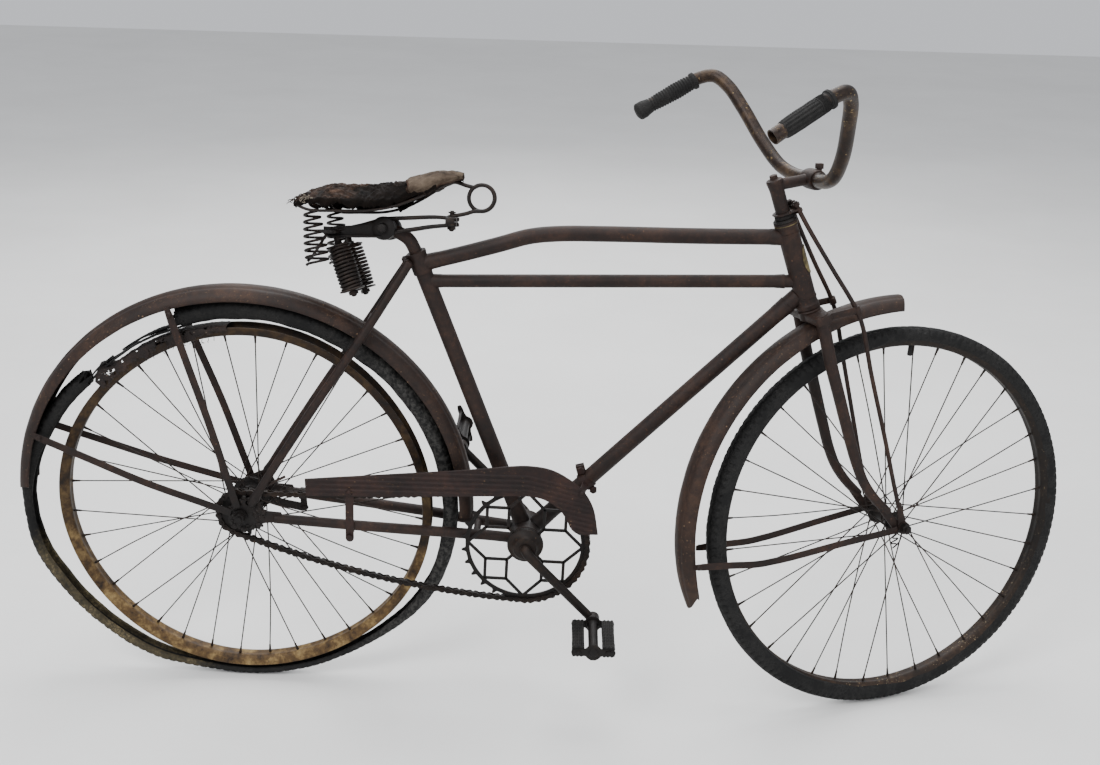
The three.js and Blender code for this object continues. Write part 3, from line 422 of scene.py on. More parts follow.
def cut(piece, cutter, operation="DIFFERENCE"):
    """Takes a cutter from a piece, or keeps only what both share, and deletes the cutter."""
    modified(piece, "BOOLEAN", operation=operation, object=cutter, solver="EXACT")
    bpy.data.objects.remove(cutter)
    return piece


def joined(*pieces):
    """Several pieces, or lists of them, as one."""
    parts = [p for group in pieces for p in (group if isinstance(group, (list, tuple)) else [group])]
    bpy.ops.object.select_all(action="DESELECT")
    for part in parts:
        part.select_set(True)
    bpy.context.view_layer.objects.active = parts[0]
    if len(parts) > 1:
        bpy.ops.object.join()
    return bpy.context.object


def cleaned(piece, distance=0.01):
    """Merges doubles and points all faces outwards."""
    only(piece)
    bpy.ops.object.mode_set(mode="EDIT")
    bpy.ops.mesh.select_all(action="SELECT")
    bpy.ops.mesh.remove_doubles(threshold=distance)
    bpy.ops.mesh.normals_make_consistent(inside=False)
    bpy.ops.object.mode_set(mode="OBJECT")
    return piece


def laid(piece, start, end):
    """Turns a piece drawn along Z to lie from start towards end, and applies that."""
    turn = (Vector(end) - Vector(start)).to_track_quat("Z", "Y").to_matrix().to_4x4()
    piece.data.transform(Matrix.Translation(Vector(start)) @ turn)
    return piece


def rod(start, end, radius, end_radius=None, sides=24, bevel=0.0):
    start, end = Vector(start), Vector(end)
    length = (end - start).length
    bpy.ops.mesh.primitive_cone_add(vertices=sides, radius1=radius,
                                    radius2=radius if end_radius is None else end_radius,
                                    depth=length, location=(0, 0, length / 2))
    piece = only(bpy.context.object)
    bpy.ops.object.transform_apply()
    laid(piece, start, end)
    return bevelled(piece, bevel) if bevel else piece


def drawn(points, closed=False, filled=False):
    """A line of points, each extruded from the last."""
    points = [Vector(p) for p in points]
    bpy.ops.object.select_all(action="DESELECT")
    bpy.ops.mesh.primitive_plane_add(size=1, location=(0, 0, 0))
    piece = only(bpy.context.object)
    bpy.ops.object.mode_set(mode="EDIT")
    bpy.ops.mesh.select_mode(type="VERT")
    bpy.ops.mesh.merge(type="CENTER")
    bpy.ops.transform.translate(value=points[0])
    for here, there in zip(points, points[1:]):
        bpy.ops.mesh.extrude_vertices_move(TRANSFORM_OT_translate={"value": there - here})
    bpy.ops.object.mode_set(mode="OBJECT")
    last = len(points) - 1
    for vertex in piece.data.vertices:
        vertex.select = filled or (closed and vertex.index in (0, last))
    if filled or closed:
        bpy.ops.object.mode_set(mode="EDIT")
        bpy.ops.mesh.edge_face_add()
        bpy.ops.object.mode_set(mode="OBJECT")
    return piece


def turned(profile, start, end, segments=64, ring=False):
    """Spins a profile of (radius, distance along) round the line from start towards end."""
    piece = drawn([(radius, 0, along) for radius, along in profile], closed=ring)
    bpy.ops.object.mode_set(mode="EDIT")
    bpy.ops.mesh.select_all(action="SELECT")
    bpy.ops.mesh.spin(steps=segments, angle=2 * math.pi, center=(0, 0, 0), axis=(0, 0, 1))
    bpy.ops.object.mode_set(mode="OBJECT")
    return cleaned(laid(piece, start, end), 0.001)


def spun_ring(profile, middle, segments, axis=Y_AXIS):
    """A closed profile spun round an axis through a point."""
    return turned(profile, middle, Vector(middle) + axis, segments, ring=True)


def on_side(sign, *points):
    """Points given for the rider's left, or the same ones on the right where the sign is below nothing."""
    return [(x, sign * y, z) for x, y, z in points]


def smooth_path(points, steps=8):
    """A centripetal curve through the points, as a list of points."""
    p = [Vector(q) for q in points]
    beyond = [p[0] * 2 - p[1], *p, p[-1] * 2 - p[-2]]
    path = []
    for i in range(len(p) - 1):
        four = beyond[i:i + 4]
        t = [0.0]
        for a, b in zip(four, four[1:]):
            t.append(t[-1] + max((b - a).length, 1e-6) ** 0.5)
        for step in range(steps):
            s = t[1] + (t[2] - t[1]) * step / steps
            a = [four[k] * ((t[k + 1] - s) / (t[k + 1] - t[k]))
                 + four[k + 1] * ((s - t[k]) / (t[k + 1] - t[k])) for k in range(3)]
            b = [a[k] * ((t[k + 2] - s) / (t[k + 2] - t[k])) + a[k + 1] * ((s - t[k]) / (t[k + 2] - t[k]))
                 for k in range(2)]
            path.append(b[0] * ((t[2] - s) / (t[2] - t[1])) + b[1] * ((s - t[1]) / (t[2] - t[1])))
    path.append(p[-1])
    return path


def tube(path, radius, sides=24, radii=None):
    """A round tube along a path. radii multiply the radius point by point."""
    bpy.ops.curve.primitive_bezier_curve_add()
    piece = only(bpy.context.object)
    curve = piece.data
    curve.splines.clear()
    spline = curve.splines.new("POLY")
    spline.points.add(len(path) - 1)
    for i, (point, place) in enumerate(zip(spline.points, path)):
        point.co = (*place, 1.0)
        point.radius = radii[i] if radii else 1.0
    curve.dimensions = "3D"
    curve.twist_mode = "MINIMUM"
    curve.bevel_depth = radius
    curve.bevel_resolution = sides // 2 - 2
    curve.use_fill_caps = True
    bpy.ops.object.convert(target="MESH")
    return cleaned(bpy.context.object, 0.001)


def bar(start, end, width, thickness, facing=Y_AXIS, bevel=0.6, segments=2):
    """A flat bar whose thin side faces as nearly as it can the way given."""
    start, end = Vector(start), Vector(end)
    along = (end - start).normalized()
    across = along.cross(Vector(facing)).normalized()
    thin = across.cross(along)
    bpy.ops.mesh.primitive_cube_add(size=1)
    piece = only(bpy.context.object)
    axes = Matrix((across, along, thin)).transposed().to_4x4()
    size = Matrix.Diagonal((width, (end - start).length, thickness, 1))
    piece.data.transform(Matrix.Translation((start + end) / 2) @ axes @ size)
    cleaned(piece)
    return bevelled(piece, bevel, segments) if bevel else piece


def plate(outline, low, high, bevel=0.5):
    """A plate drawn in X and Z, from one value of Y to another."""
    piece = drawn([(x, low, z) for x, z in outline], filled=True)
    bpy.ops.object.mode_set(mode="EDIT")
    bpy.ops.mesh.select_all(action="SELECT")
    bpy.ops.mesh.extrude_region_move(TRANSFORM_OT_translate={"value": (0, high - low, 0)})
    bpy.ops.object.mode_set(mode="OBJECT")
    cleaned(piece)
    return bevelled(piece, bevel) if bevel else piece


def painted(piece, values):
    """Writes a number of wear on every point, which on the saddle's leather also carries painted shadow."""
    piece.data.attributes.new("wear", "FLOAT", "POINT").data.foreach_set("value", values)


def sheet(columns, rows, shape, wear=None):
    """A grid whose points go where shape(u, v) says, u and v from 0 to 1. wear(u, v) is written on them."""
    bpy.ops.object.select_all(action="DESELECT")
    bpy.ops.mesh.primitive_grid_add(x_subdivisions=columns, y_subdivisions=rows, size=1)
    piece = only(bpy.context.object)
    if wear:
        painted(piece, [wear(vertex.co.x + 0.5, vertex.co.y + 0.5) for vertex in piece.data.vertices])
    for vertex in piece.data.vertices:
        vertex.co = shape(vertex.co.x + 0.5, vertex.co.y + 0.5)
    return cleaned(piece)


def swept(section, steps, place, closed=False, wear=None):
    """Carries a closed section along a way: place(t, a, b) is where its point (a, b) goes, t from 0 to 1."""
    count = len(section)
    bpy.ops.object.select_all(action="DESELECT")
    bpy.ops.mesh.primitive_grid_add(x_subdivisions=steps, y_subdivisions=count, size=1)
    piece = only(bpy.context.object)
    rows = [round((vertex.co.y + 0.5) * count) % count for vertex in piece.data.vertices]
    if wear:
        painted(piece, [wear(v.co.x + 0.5, *section[row]) for v, row in zip(piece.data.vertices, rows)])
    for vertex, row in zip(piece.data.vertices, rows):
        vertex.co = place(vertex.co.x + 0.5, *section[row])
    cleaned(piece, 0.001)
    if not closed:
        bpy.ops.object.mode_set(mode="EDIT")
        bpy.ops.mesh.select_all(action="SELECT")
        bpy.ops.mesh.fill_holes(sides=0)
        bpy.ops.object.mode_set(mode="OBJECT")
        cleaned(piece, 0.001)
    return piece


def roughened(piece, depth, scale, seed=0.0):
    """Dents a surface softly, along its normals."""
    normals = [vertex.normal.copy() for vertex in piece.data.vertices]
    for vertex, normal in zip(piece.data.vertices, normals):
        vertex.co += normal * depth * noise.noise(vertex.co * scale + Vector((seed, seed, seed)))
    return piece


def hexagon_nut(centre, axis, across, thickness):
    """A chamfered hexagon nut or bolt head."""
    centre, axis = Vector(centre), Vector(axis).normalized()
    nut = rod(centre - axis * thickness / 2, centre + axis * thickness / 2, across / math.sqrt(3), sides=6)
    chamfer = turned([(0, -thickness / 2), (across * 0.52, -thickness / 2),
                      (across * 0.62, -thickness * 0.3), (across * 0.62, thickness * 0.3),
                      (across * 0.52, thickness / 2), (0, thickness / 2)], centre, centre + axis, 32)
    return bevelled(cut(nut, chamfer, "INTERSECT"), 0.35)


def dome(centre, axis, radius, height, sides=20):
    """A round rivet or bolt head standing on a surface."""
    rows = [(radius * math.cos(a), height * math.sin(a)) for a in (math.radians(15 * i) for i in range(6))]
    return turned([(0, -1.0), (radius, -1.0), *rows, (0, height)], centre,
                  Vector(centre) + Vector(axis), sides)


def settle(piece, name, body, finish, *nodes, slot=None, smooth=38):
    """Moves a finished piece from drawing millimetres to the frame, and fastens it to its body.

    The nodes are the solids that it replaces. Pieces of the saddle lean with it and belong to the frame.
    """
    piece.name = piece.data.name = name
    if body == "saddle":
        piece.data.transform(SADDLE_TILT)
        body = "frame"
    home = TO_ROW @ TURNED if body in STEERED_BODIES else TO_ROW
    piece.data.transform(home @ piece.matrix_world)
    piece.matrix_world = Matrix.Identity(4)
    piece.data.materials.clear()
    piece.data.materials.append(FINISHES[finish])
    only(piece)
    bpy.ops.object.shade_smooth_by_angle(angle=math.radians(smooth))
    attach(piece, body)
    if nodes:
        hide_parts(*nodes)
    return piece


# Frame: tubes, lugs and dropouts
def sleeve(start, end, radius, length):
    """A brazed lug sleeve round a tube, filed thin at its open edge."""
    thickness = 0.6
    rows = [(radius - 1, 0), (radius + 2 * thickness, 0), (radius + 1.5 * thickness, length * 0.25),
            (radius + thickness, length * 0.55), (radius + thickness * 0.7, length * 0.85),
            (radius + thickness * 0.25, length), (radius - 1, length)]
    return turned(rows, start, end, 48, ring=True)


def head_tube():
    length = (HEAD_TOP_Z - HEAD_BOTTOM_Z) / STEER_AXIS.z
    end = [(14.5, 0), (19.3, 0), (20, 0.7), (20, 7.6), (19.2, 8.6), (18.6, 10.2), (18, 13)]
    rows = end + [(radius, length - along) for radius, along in reversed(end)]
    tube_piece = turned(rows, steer_at(HEAD_BOTTOM_Z), steer_at(HEAD_TOP_Z), 96, ring=True)
    bands = [turned([(17.5, a), (18.9, a + 0.5), (18.9, a + 2.5), (17.5, a + 3)], steer_at(HEAD_BOTTOM_Z),
                    steer_at(HEAD_TOP_Z), 96, ring=True) for a in (18, length - 22)]
    settle(joined(tube_piece, bands), "head_tube_shell", "frame", "frame", "head_tube")
    line = turned([(19.6, 0), (20.25, 0.3), (20.25, 1.3), (19.6, 1.6)],
                  steer_at(HEAD_TOP_Z - 4.6), steer_at(HEAD_TOP_Z), 96, ring=True)
    return settle(line, "worn_line_under_headset", "frame", "badge")


def worn_badge_plate():
    """The bare oval plate riveted to the front of the head tube, curved to it."""
    middle, across, up = steer_at(470), Y_AXIS, STEER_AXIS
    front = across.cross(up)

    def place(t, a, b):
        half_width = 16.5 * math.sqrt(max(1 - (2 * t - 1) ** 2, 0.0))
        height = 26 * (2 * t - 1)
        turn = a * half_width / 18
        radius = 18.15 + b * (0.9 + 0.35 * math.cos(a * 3))
        return middle + up * height + (across * math.sin(turn) + front * math.cos(turn)) * radius
    section = [(a / 8, 0) for a in range(-8, 9)] + [(a / 8, 1) for a in range(8, -9, -1)]
    plate_piece = swept(section, 40, place)
    rivets = [dome(middle + up * h + front * 18.6, front, 1.9, 1.3, 12) for h in (-23, 23)]
    return settle(joined(plate_piece, rivets), "worn_badge_plate", "frame", "badge")


def main_tubes():
    upper_path = smooth_path([(912, 0, 511.2), (760, 0, 508.5), (620, 0, 507.5), (540, 0, 505.5),
                              (491, 0, 499.5), (440, 0, 484), (377, 0, 465.5), (303, 0, 445.4)], 10)
    upper = tube(upper_path, 13.2, 40)
    lugs = [sleeve(upper_path[0], upper_path[9], 13.2, 24),
            sleeve((312, 0, 447.8), (377, 0, 465.5), 13.2, 30)]
    settle(joined(upper, lugs), "upper_bar_tube", "frame", "frame", "upper_bar")

    lower = [rod((322, 0, 417.5), (938, 0, 435.8), 11.1, sides=40),
             sleeve((918, 0, 435.2), (880, 0, 434.1), 11.1, 16),
             sleeve((322, 0, 417.5), (380, 0, 419.2), 11.1, 24)]
    settle(joined(lower), "lower_bar_tube", "frame", "frame", "lower_bar")

    foot, top = DOWN_TUBE_FOOT, DOWN_TUBE_TOP
    down = [rod(foot, top, TUBE_RADIUS, sides=40), sleeve(top.lerp(foot, 0.035), foot, TUBE_RADIUS, 26),
            sleeve(foot.lerp(top, 0.02), top, TUBE_RADIUS, 26)]
    settle(joined(down), "down_tube_shell", "frame", "frame", "down_tube")

    lug_top = SEAT_LUG - SEAT_TUBE_LINE * 0.5
    collar_rows = [(11.4, 0), (17, 0), (17, 22), (16.2, 30), (17.2, 33), (17.2, 36.5), (16.4, 37.2),
                   (11.4, 37.2)]
    seat = [rod(seat_tube_at(-40), seat_tube_at(440), TUBE_RADIUS, sides=40),
            turned(collar_rows, lug_top - SEAT_TUBE_LINE * 37.2, lug_top, 64, ring=True),
            sleeve(seat_tube_at(-22), seat_tube_at(0), TUBE_RADIUS, 22)]
    back = Vector((-SEAT_TUBE_LINE.z, 0, SEAT_TUBE_LINE.x))
    ear = lug_top + back * 20 - SEAT_TUBE_LINE * 9
    seat += [bar(ear + back * -8 + Y_AXIS * y, ear + back * 6 + Y_AXIS * y, 14, 4, bevel=1.2)
             for y in (-5, 5)]
    seat += [rod(ear + Y_AXIS * -15, ear + Y_AXIS * 14, 3, sides=20), dome(ear + Y_AXIS * 7, Y_AXIS, 6, 4),
             hexagon_nut(ear + Y_AXIS * -10, Y_AXIS, 11, 5)]
    settle(joined(seat), "seat_tube_and_lug", "frame", "frame", "seat_tube")

    shell_rows = [(22, -35), (27.2, -35), (28, -34.2), (28, -30), (27.4, -29), (27.4, 29), (28, 30),
                  (28, 34.2), (27.2, 35), (22, 35)]
    shell = spun_ring(shell_rows, BOTTOM_BRACKET, 72)
    stops = [dome(BOTTOM_BRACKET + Vector((0, y, -27.2)), (0, 0, -1), 3.4, 2.2, 16) for y in (-12, 12)]
    settle(joined(shell, stops), "bottom_bracket_shell", "frame", "frame", "bottom_bracket")


def rear_triangle(side, sign):
    stay_path = smooth_path(on_side(sign, (474, 24.6, -45), (430, 27, -40), (385, 31, -36), (330, 38, -30),
                                    (230, 46, -21), (120, 53, -11), (58, 57.5, -5)))
    tapered = [1.0 - 0.22 * max(0, i / len(stay_path) - 0.55) for i in range(len(stay_path))]
    dropout = plate([(-22, -14), (-22, 10), (-16, 18), (-6, 24), (12, 33), (20, 35), (27, 33), (33, 26),
                     (38, 15), (42, 9), (70, 7), (73, 0), (72, -11), (42, -14), (26, -19), (10, -20),
                     (-8, -22), (-18, -19)], sign * DROPOUT_Y, sign * (DROPOUT_Y + 3.6), 0.7)
    eyelet = turned([(2.4, 0), (5.2, 0), (5.2, 3), (4.8, 3.6), (2.4, 3.6)], (14, sign * DROPOUT_Y, 24),
                    (14, sign * 70, 24), 24, ring=True)
    bridge = [] if sign > 0 else [
        rod((409, -32, -38), (409, 32, -38), 6.5, sides=28),
        rod((223, -43, 342), (223, 43, 342), 5, sides=28), dome((223, 0, 342), (-0.55, 0, -0.83), 6, 3.5),
        hexagon_nut((221, 0, 338.5), (0.55, 0, 0.83), 10, 5)]
    chain_stay = joined(tube(stay_path, 9.3, 32, radii=tapered), dropout, eyelet, bridge)
    settle(chain_stay, f"chain_stay_and_dropout_{side}", "frame", "frame", f"chain_stay_{side}")

    seat_path = smooth_path(on_side(sign, (291, 18.5, 452), (283, 22, 438), (256, 33, 395), (226, 42.5, 347),
                                    (126, 53, 194.5), (66, 58.2, 100), (40, 61, 58), (28, 61.4, 37),
                                    (20, 61.4, 24)))
    last = len(seat_path) - 1
    shrink = [1.06 - 0.16 * i / last + 0.28 * hump(i / last, 0.9, 0.07) for i in range(last + 1)]
    foot_radius = 7.5 * shrink[-1]
    ends = [dome(seat_path[0], seat_path[0] - seat_path[2], 8.0, 5.5, 24),
            dome(seat_path[-1], seat_path[-1] - seat_path[-3], foot_radius, foot_radius * 0.7, 24)]
    if sign < 0:
        ends.append(rod((42, -60, 56), (79, -54, 74), 2.7, 2.3, 16, 0.6))
    settle(joined(tube(seat_path, 7.5, 32, radii=shrink), ends), f"seat_stay_tube_{side}", "frame", "frame",
           f"seat_stay_{side}")


# Mudguards and their stays
def mudguard_section():
    """Points (across, radius) round the sheet, with two shallow grooves and rolled edges."""
    depth, half = MUDGUARD_RADIUS - MUDGUARD_LIP, MUDGUARD_HALF_WIDTH
    degrees = [9 + i * (162 / 34) for i in range(35)]

    def arc(less):
        points = []
        for a in map(math.radians, degrees):
            across = (half - less) * math.cos(a)
            groove = 1.1 * hump(abs(across), 12.5, 3.0)
            points.append((across, MUDGUARD_LIP + (depth - less) * math.sin(a) - groove))
        return points
    rolled = [around((half - 2.0, 0, MUDGUARD_LIP + 1.7), 2.2, b) for b in (165, 205, 245, 285, 325, 5)]
    edge = [(point.x, point.z) for point in rolled]
    return arc(0) + [(-a, b) for a, b in reversed(edge)] + arc(1.5)[::-1] + edge


def mudguard(name, centre, start, end, body, node, notch, narrow):
    """notch(t, a) pulls the end corners in, by degrees, and narrow(t) is the share of the full width."""
    def place(t, across, radius):
        degrees = start + (end - start) * t + notch(t, across / MUDGUARD_HALF_WIDTH)
        across *= narrow(t)
        radius -= (radius - MUDGUARD_LIP) * 0.5 * (1 - narrow(t))
        dent = 0.7 * ripple(degrees * 0.13, across * 0.05, 3)
        return around(centre, radius - abs(dent), degrees, across + dent)
    sheet_piece = swept(mudguard_section(), 220, place)
    return settle(sheet_piece, name, body, "mudguard", node)


def stay_bolt(point, outwards):
    rows = [(0, -2), (5.4, -2), (5.4, 0.6), (4.6, 1), (4.6, 2.6), (3.4, 4.0), (0, 4.5)]
    return turned(rows, point, Vector(point) + Vector(outwards), 24)


def stay(name, body, node, start, elbow, end, eye_radius, sign, width):
    """A flat mudguard stay with a slight bend, an eye on the axle and a bolt at the guard."""
    thickness = 2.2
    start, elbow, end = Vector(start), Vector(elbow), Vector(end)
    eye = spun_ring([(5.3, -thickness / 2), (eye_radius, -thickness / 2), (eye_radius, thickness / 2),
                     (5.3, thickness / 2)], end, 40)
    path = smooth_path([start, start.lerp(elbow, 0.5), elbow, elbow.lerp(end, 0.6), end], 8)
    path = [p for p in path if (p - end).length > eye_radius - 2]
    count = len(path) - 1
    half, thin = width / 2, thickness / 2
    section = [(half, -thin + 0.5), (half, thin - 0.5), (half - 0.5, thin), (-half + 0.5, thin),
               (-half, thin - 0.5), (-half, -thin + 0.5), (-half + 0.5, -thin), (half - 0.5, -thin)]

    def place(t, a, b):
        i = min(int(t * count + 1e-6), count)
        along = (path[min(i + 1, count)] - path[max(i - 1, 0)]).normalized()
        across = along.cross(Y_AXIS).normalized()
        narrow = 1.0 - 0.25 * max(0.0, 0.06 - t) / 0.06
        return path[i] + across * a * narrow + across.cross(along) * b
    strip = swept(section, count, place)
    outwards = Vector((0, sign, 0))
    tip = path[1] + outwards * thin
    return settle(joined(strip, eye, stay_bolt(tip, outwards)), name, body, "frame", node)


def rear_guard_and_stays():
    mudguard("rear_mudguard_sheet", (0, 0, 0), -2, 177.5, "frame", "rear_mudguard",
             lambda t, a: 1.6 * a * a * max(0.0, t - 0.97) / -0.03 + 0.8 * a * a * max(0.0, 0.03 - t) / 0.03,
             lambda t: 1.0)
    for place, eye_y, x, z, bow in (("upper", UPPER_STAY_Y, -113.3, 367.2, 3),
                                    ("lower", LOWER_STAY_Y, -361, 128, -4)):
        for side, sign in SIDES:
            start = Vector((x, sign * (MUDGUARD_HALF_WIDTH + 1.8), z))
            elbow = start.lerp(Vector((0, sign * eye_y, 0)), 0.55) + Vector((bow, sign * 2, bow))
            stay(f"rear_guard_stay_{place}_{side}", "frame", f"rear_stay_{place}_{side}", start, elbow,
                 (0, sign * eye_y, 0), 12, sign, 13)


def front_guard_and_stays():
    centre = (WHEELBASE - 3, 0, 2)
    mudguard("front_mudguard_sheet", centre, 90, 199, "steering", "front_mudguard",
             lambda t, a: (-3.2 * abs(a) ** 3 * max(0.0, t - 0.955) / 0.045
                           + 1.2 * a * a * max(0.0, 0.03 - t) / 0.03),
             lambda t: 1.0 - 0.34 * (max(0.0, t - 0.86) / 0.14) ** 2)
    bends = {"right": ((757, -42), (880, -44)), "left": ((787, -33), (900, -34))}
    for side, sign in SIDES:
        (x, z), (bend_x, bend_z) = bends[side]
        start = Vector((x, sign * (MUDGUARD_HALF_WIDTH + 1.8), z))
        stay(f"front_guard_stay_{side}", "steering", f"front_stay_{side}", start,
             (bend_x, sign * 42, bend_z), (WHEELBASE, sign * 60.1, 0), 11, sign, 12)


# Chain guard with lengthwise ribs, a rolled edge, a rear strap and a front clip.
# These are its upper and lower edge, as X and Z.
GUARD_TOP = [(114, 72), (348, 94), (416, 101), (465, 107), (500, 109), (538, 103), (571, 85), (594, 65),
             (611, 35), (621, -16)]
GUARD_BOTTOM = [(115, 42), (348, 48), (436, 52), (507, 53), (534, 45), (556, 28), (568, 10), (577, -8),
                (590, -17)]


def chain_guard():
    top = smooth_path([(x, 0, z) for x, z in GUARD_TOP], 24)
    bottom = smooth_path([(x, 0, z) for x, z in GUARD_BOTTOM], 27)
    ribs_at = (90, 81, 72, 63, 54, 45, 36, 27, 18, 9, 0)

    def surface(u, v):
        high = top[min(int(u * (len(top) - 1) + 0.5), len(top) - 1)]
        low = bottom[min(int(u * (len(bottom) - 1) + 0.5), len(bottom) - 1)]
        point = low.lerp(high, v)
        inside = min(v / 0.16, (1 - v) / 0.16, u / 0.02, (1 - u) / 0.02, 1.0)
        level = point.z if point.x < 500 else point.z + 0.25 * (point.x - 500)
        ribs = sum(hump(level, height, 1.9) for height in ribs_at)
        return Vector((point.x, -60.6 - 1.7 * ribs * max(inside, 0.0) ** 0.5, point.z))
    face = sheet(216, 44, surface)
    modified(face, "SOLIDIFY", thickness=1.2, offset=1.0)
    cleaned(face)
    rim = [tube([surface(i / 108, 0.985) + Vector((0, 1.2, 0)) for i in range(109)], 2.0, 12),
           tube([surface(i / 108, 0.015) + Vector((0, 0.8, 0)) for i in range(109)], 1.6, 12)]
    inward = sheet(216, 2, lambda u, v: surface(u, 0.99) + Vector((0, 5.0 * v, -0.4 * v)))
    modified(inward, "SOLIDIFY", thickness=1.2, offset=0.0)
    half = 7.2
    strap_end = [(189 + half * math.cos(math.radians(a)), -38 + half * math.sin(math.radians(a)))
                 for a in range(180, 361, 20)]
    hanger = [plate([*strap_end, (190 + half, 52), (190 - half, 52)], -59.8, -57.6, 0.5),
              bar((189, -57.8, -26), (190, -45, -32), 12, 2.2),
              stay_bolt((190, -62, 52), (0, -1, 0)), hexagon_nut((189, -61.2, -36), Y_AXIS, 10, 4.6)]
    down = (DOWN_TUBE_TOP - DOWN_TUBE_FOOT).normalized()
    clip_x = 600
    ring_at = Vector((clip_x, 0, DOWN_TUBE_FOOT.z + (clip_x - DOWN_TUBE_FOOT.x) * down.z / down.x))
    clip = [turned([(14.5, -7.5), (17, -7.5), (17, 7.5), (14.5, 7.5)], ring_at, ring_at + down, 48,
                   ring=True),
            bar(ring_at + Vector((-2, -15, -1)), (592, -58.8, 63), 12, 2.4, down),
            stay_bolt((592, -61.5, 62), (0, -1, 0)),
            hexagon_nut(ring_at + Vector((-10.5, -8.5, 21)), Y_AXIS, 12, 6),
            dome(ring_at + Vector((-10.5, 6, 21)), Y_AXIS, 6, 3.5),
            hexagon_nut(ring_at + Vector((12.5, -10, -14)), Y_AXIS, 12, 6)]
    clip += [bar(ring_at + Vector((-8, y, 11)), ring_at + Vector((-13, y, 29)), 15, 3.6) for y in (-4, 4)]
    return settle(joined(face, rim, inward, hanger, clip), "ribbed_chain_guard", "frame",
                  "guard", "chain_guard", smooth=50)


# Chain and its wheels
def pitch_radius(teeth):
    return CHAIN_PITCH / (2 * math.sin(math.pi / teeth))


def chain_pins():
    """Where each pin of the chain is, on the ring, along the upper run, round the cog and back below."""
    ring, cog = pitch_radius(RING_TEETH), pitch_radius(COG_TEETH)
    step = 360 / RING_TEETH
    on_ring = [around(BOTTOM_BRACKET, ring, (i + 0.5) * step, CHAIN_Y) for i in range(-7, 7)]
    on_cog = [around((0, 0, 0), cog, 90 + (i + 0.5) * 36, CHAIN_Y) for i in range(0, 5)]

    def run(start, end, sag, count):
        return [start.lerp(end, i / count) + Vector((0, 0, -4 * sag * (i / count) * (1 - i / count)))
                for i in range(1, count)]
    upper = round((on_ring[-1] - on_cog[0]).length / CHAIN_PITCH)
    lower = round((on_cog[-1] - on_ring[0]).length / CHAIN_PITCH)
    lower += (len(on_ring) + len(on_cog) + upper + lower) % 2
    return on_ring + run(on_ring[-1], on_cog[0], 9, upper) + on_cog + run(on_cog[-1], on_ring[0], 22, lower)


def chain_loop():
    """A block chain: a solid block at each pitch, joined to the next by two side plates."""
    centres = chain_pins()
    count = len(centres)
    half_block = 5.1

    def waisted(start, end, radius, waist, y, thickness):
        along = (end - start).normalized()
        up = along.cross(Y_AXIS)
        rows = []
        for centre, turn in ((start, 90), (end, -90)):
            rows += [centre + radius * (along * math.cos(math.radians(turn + a))
                                        + up * math.sin(math.radians(turn + a)))
                     for a in range(0, 181, 30)]
            rows.append((start + end) / 2 + up * (-waist if turn > 0 else waist))
        return plate([(p.x, p.z) for p in rows], y - thickness / 2, y + thickness / 2, 0)
    links, ends = [], []
    for i, centre in enumerate(centres):
        along = (centres[(i + 1) % count] - centres[i - 1]).normalized()
        ends.append((centre - along * half_block, centre + along * half_block))
        links.append(waisted(*ends[-1], 4.7, 3.5, CHAIN_Y, 5.2))
    for (_, start), (end, _) in zip(ends, ends[1:] + ends[:1]):
        links += [waisted(start, end, 5.3, 2.9, CHAIN_Y + side * 3.8, 1.7) for side in (-1, 1)]
    for pin in (point for pair in ends for point in pair):
        links.append(rod(pin + Y_AXIS * -6.3, pin + Y_AXIS * 6.3, 2.1, sides=10))
    return settle(joined(links), "rusty_chain", "frame", "chain", "chain")


def toothed_wheel(teeth, middle, bore, sides):
    """A wheel with narrow pointed teeth and round hollows, open inside its bore."""
    pitch = pitch_radius(teeth)
    tooth = [(-3.9, -5.3), (-3.0, -3.9), (-0.6, -3.0), (2.0, -2.0), (3.4, -0.9), (3.4, 0.9), (2.0, 2.0),
             (-0.6, 3.0), (-3.0, 3.9), (-3.9, 5.3)]
    outline = []
    for i in range(teeth):
        for out, aside in tooth:
            radius = pitch + out
            angle = 2 * math.pi * i / teeth + aside / radius
            outline.append((middle.x + radius * math.cos(angle), middle.z + radius * math.sin(angle)))
    wheel = plate(outline, middle.y - WHEEL_PLATE_HALF, middle.y + WHEEL_PLATE_HALF, 0)
    cut(wheel, rod(middle - Y_AXIS * 9, middle + Y_AXIS * 9, bore, sides=sides))
    return bevelled(wheel, 0.45, 1)


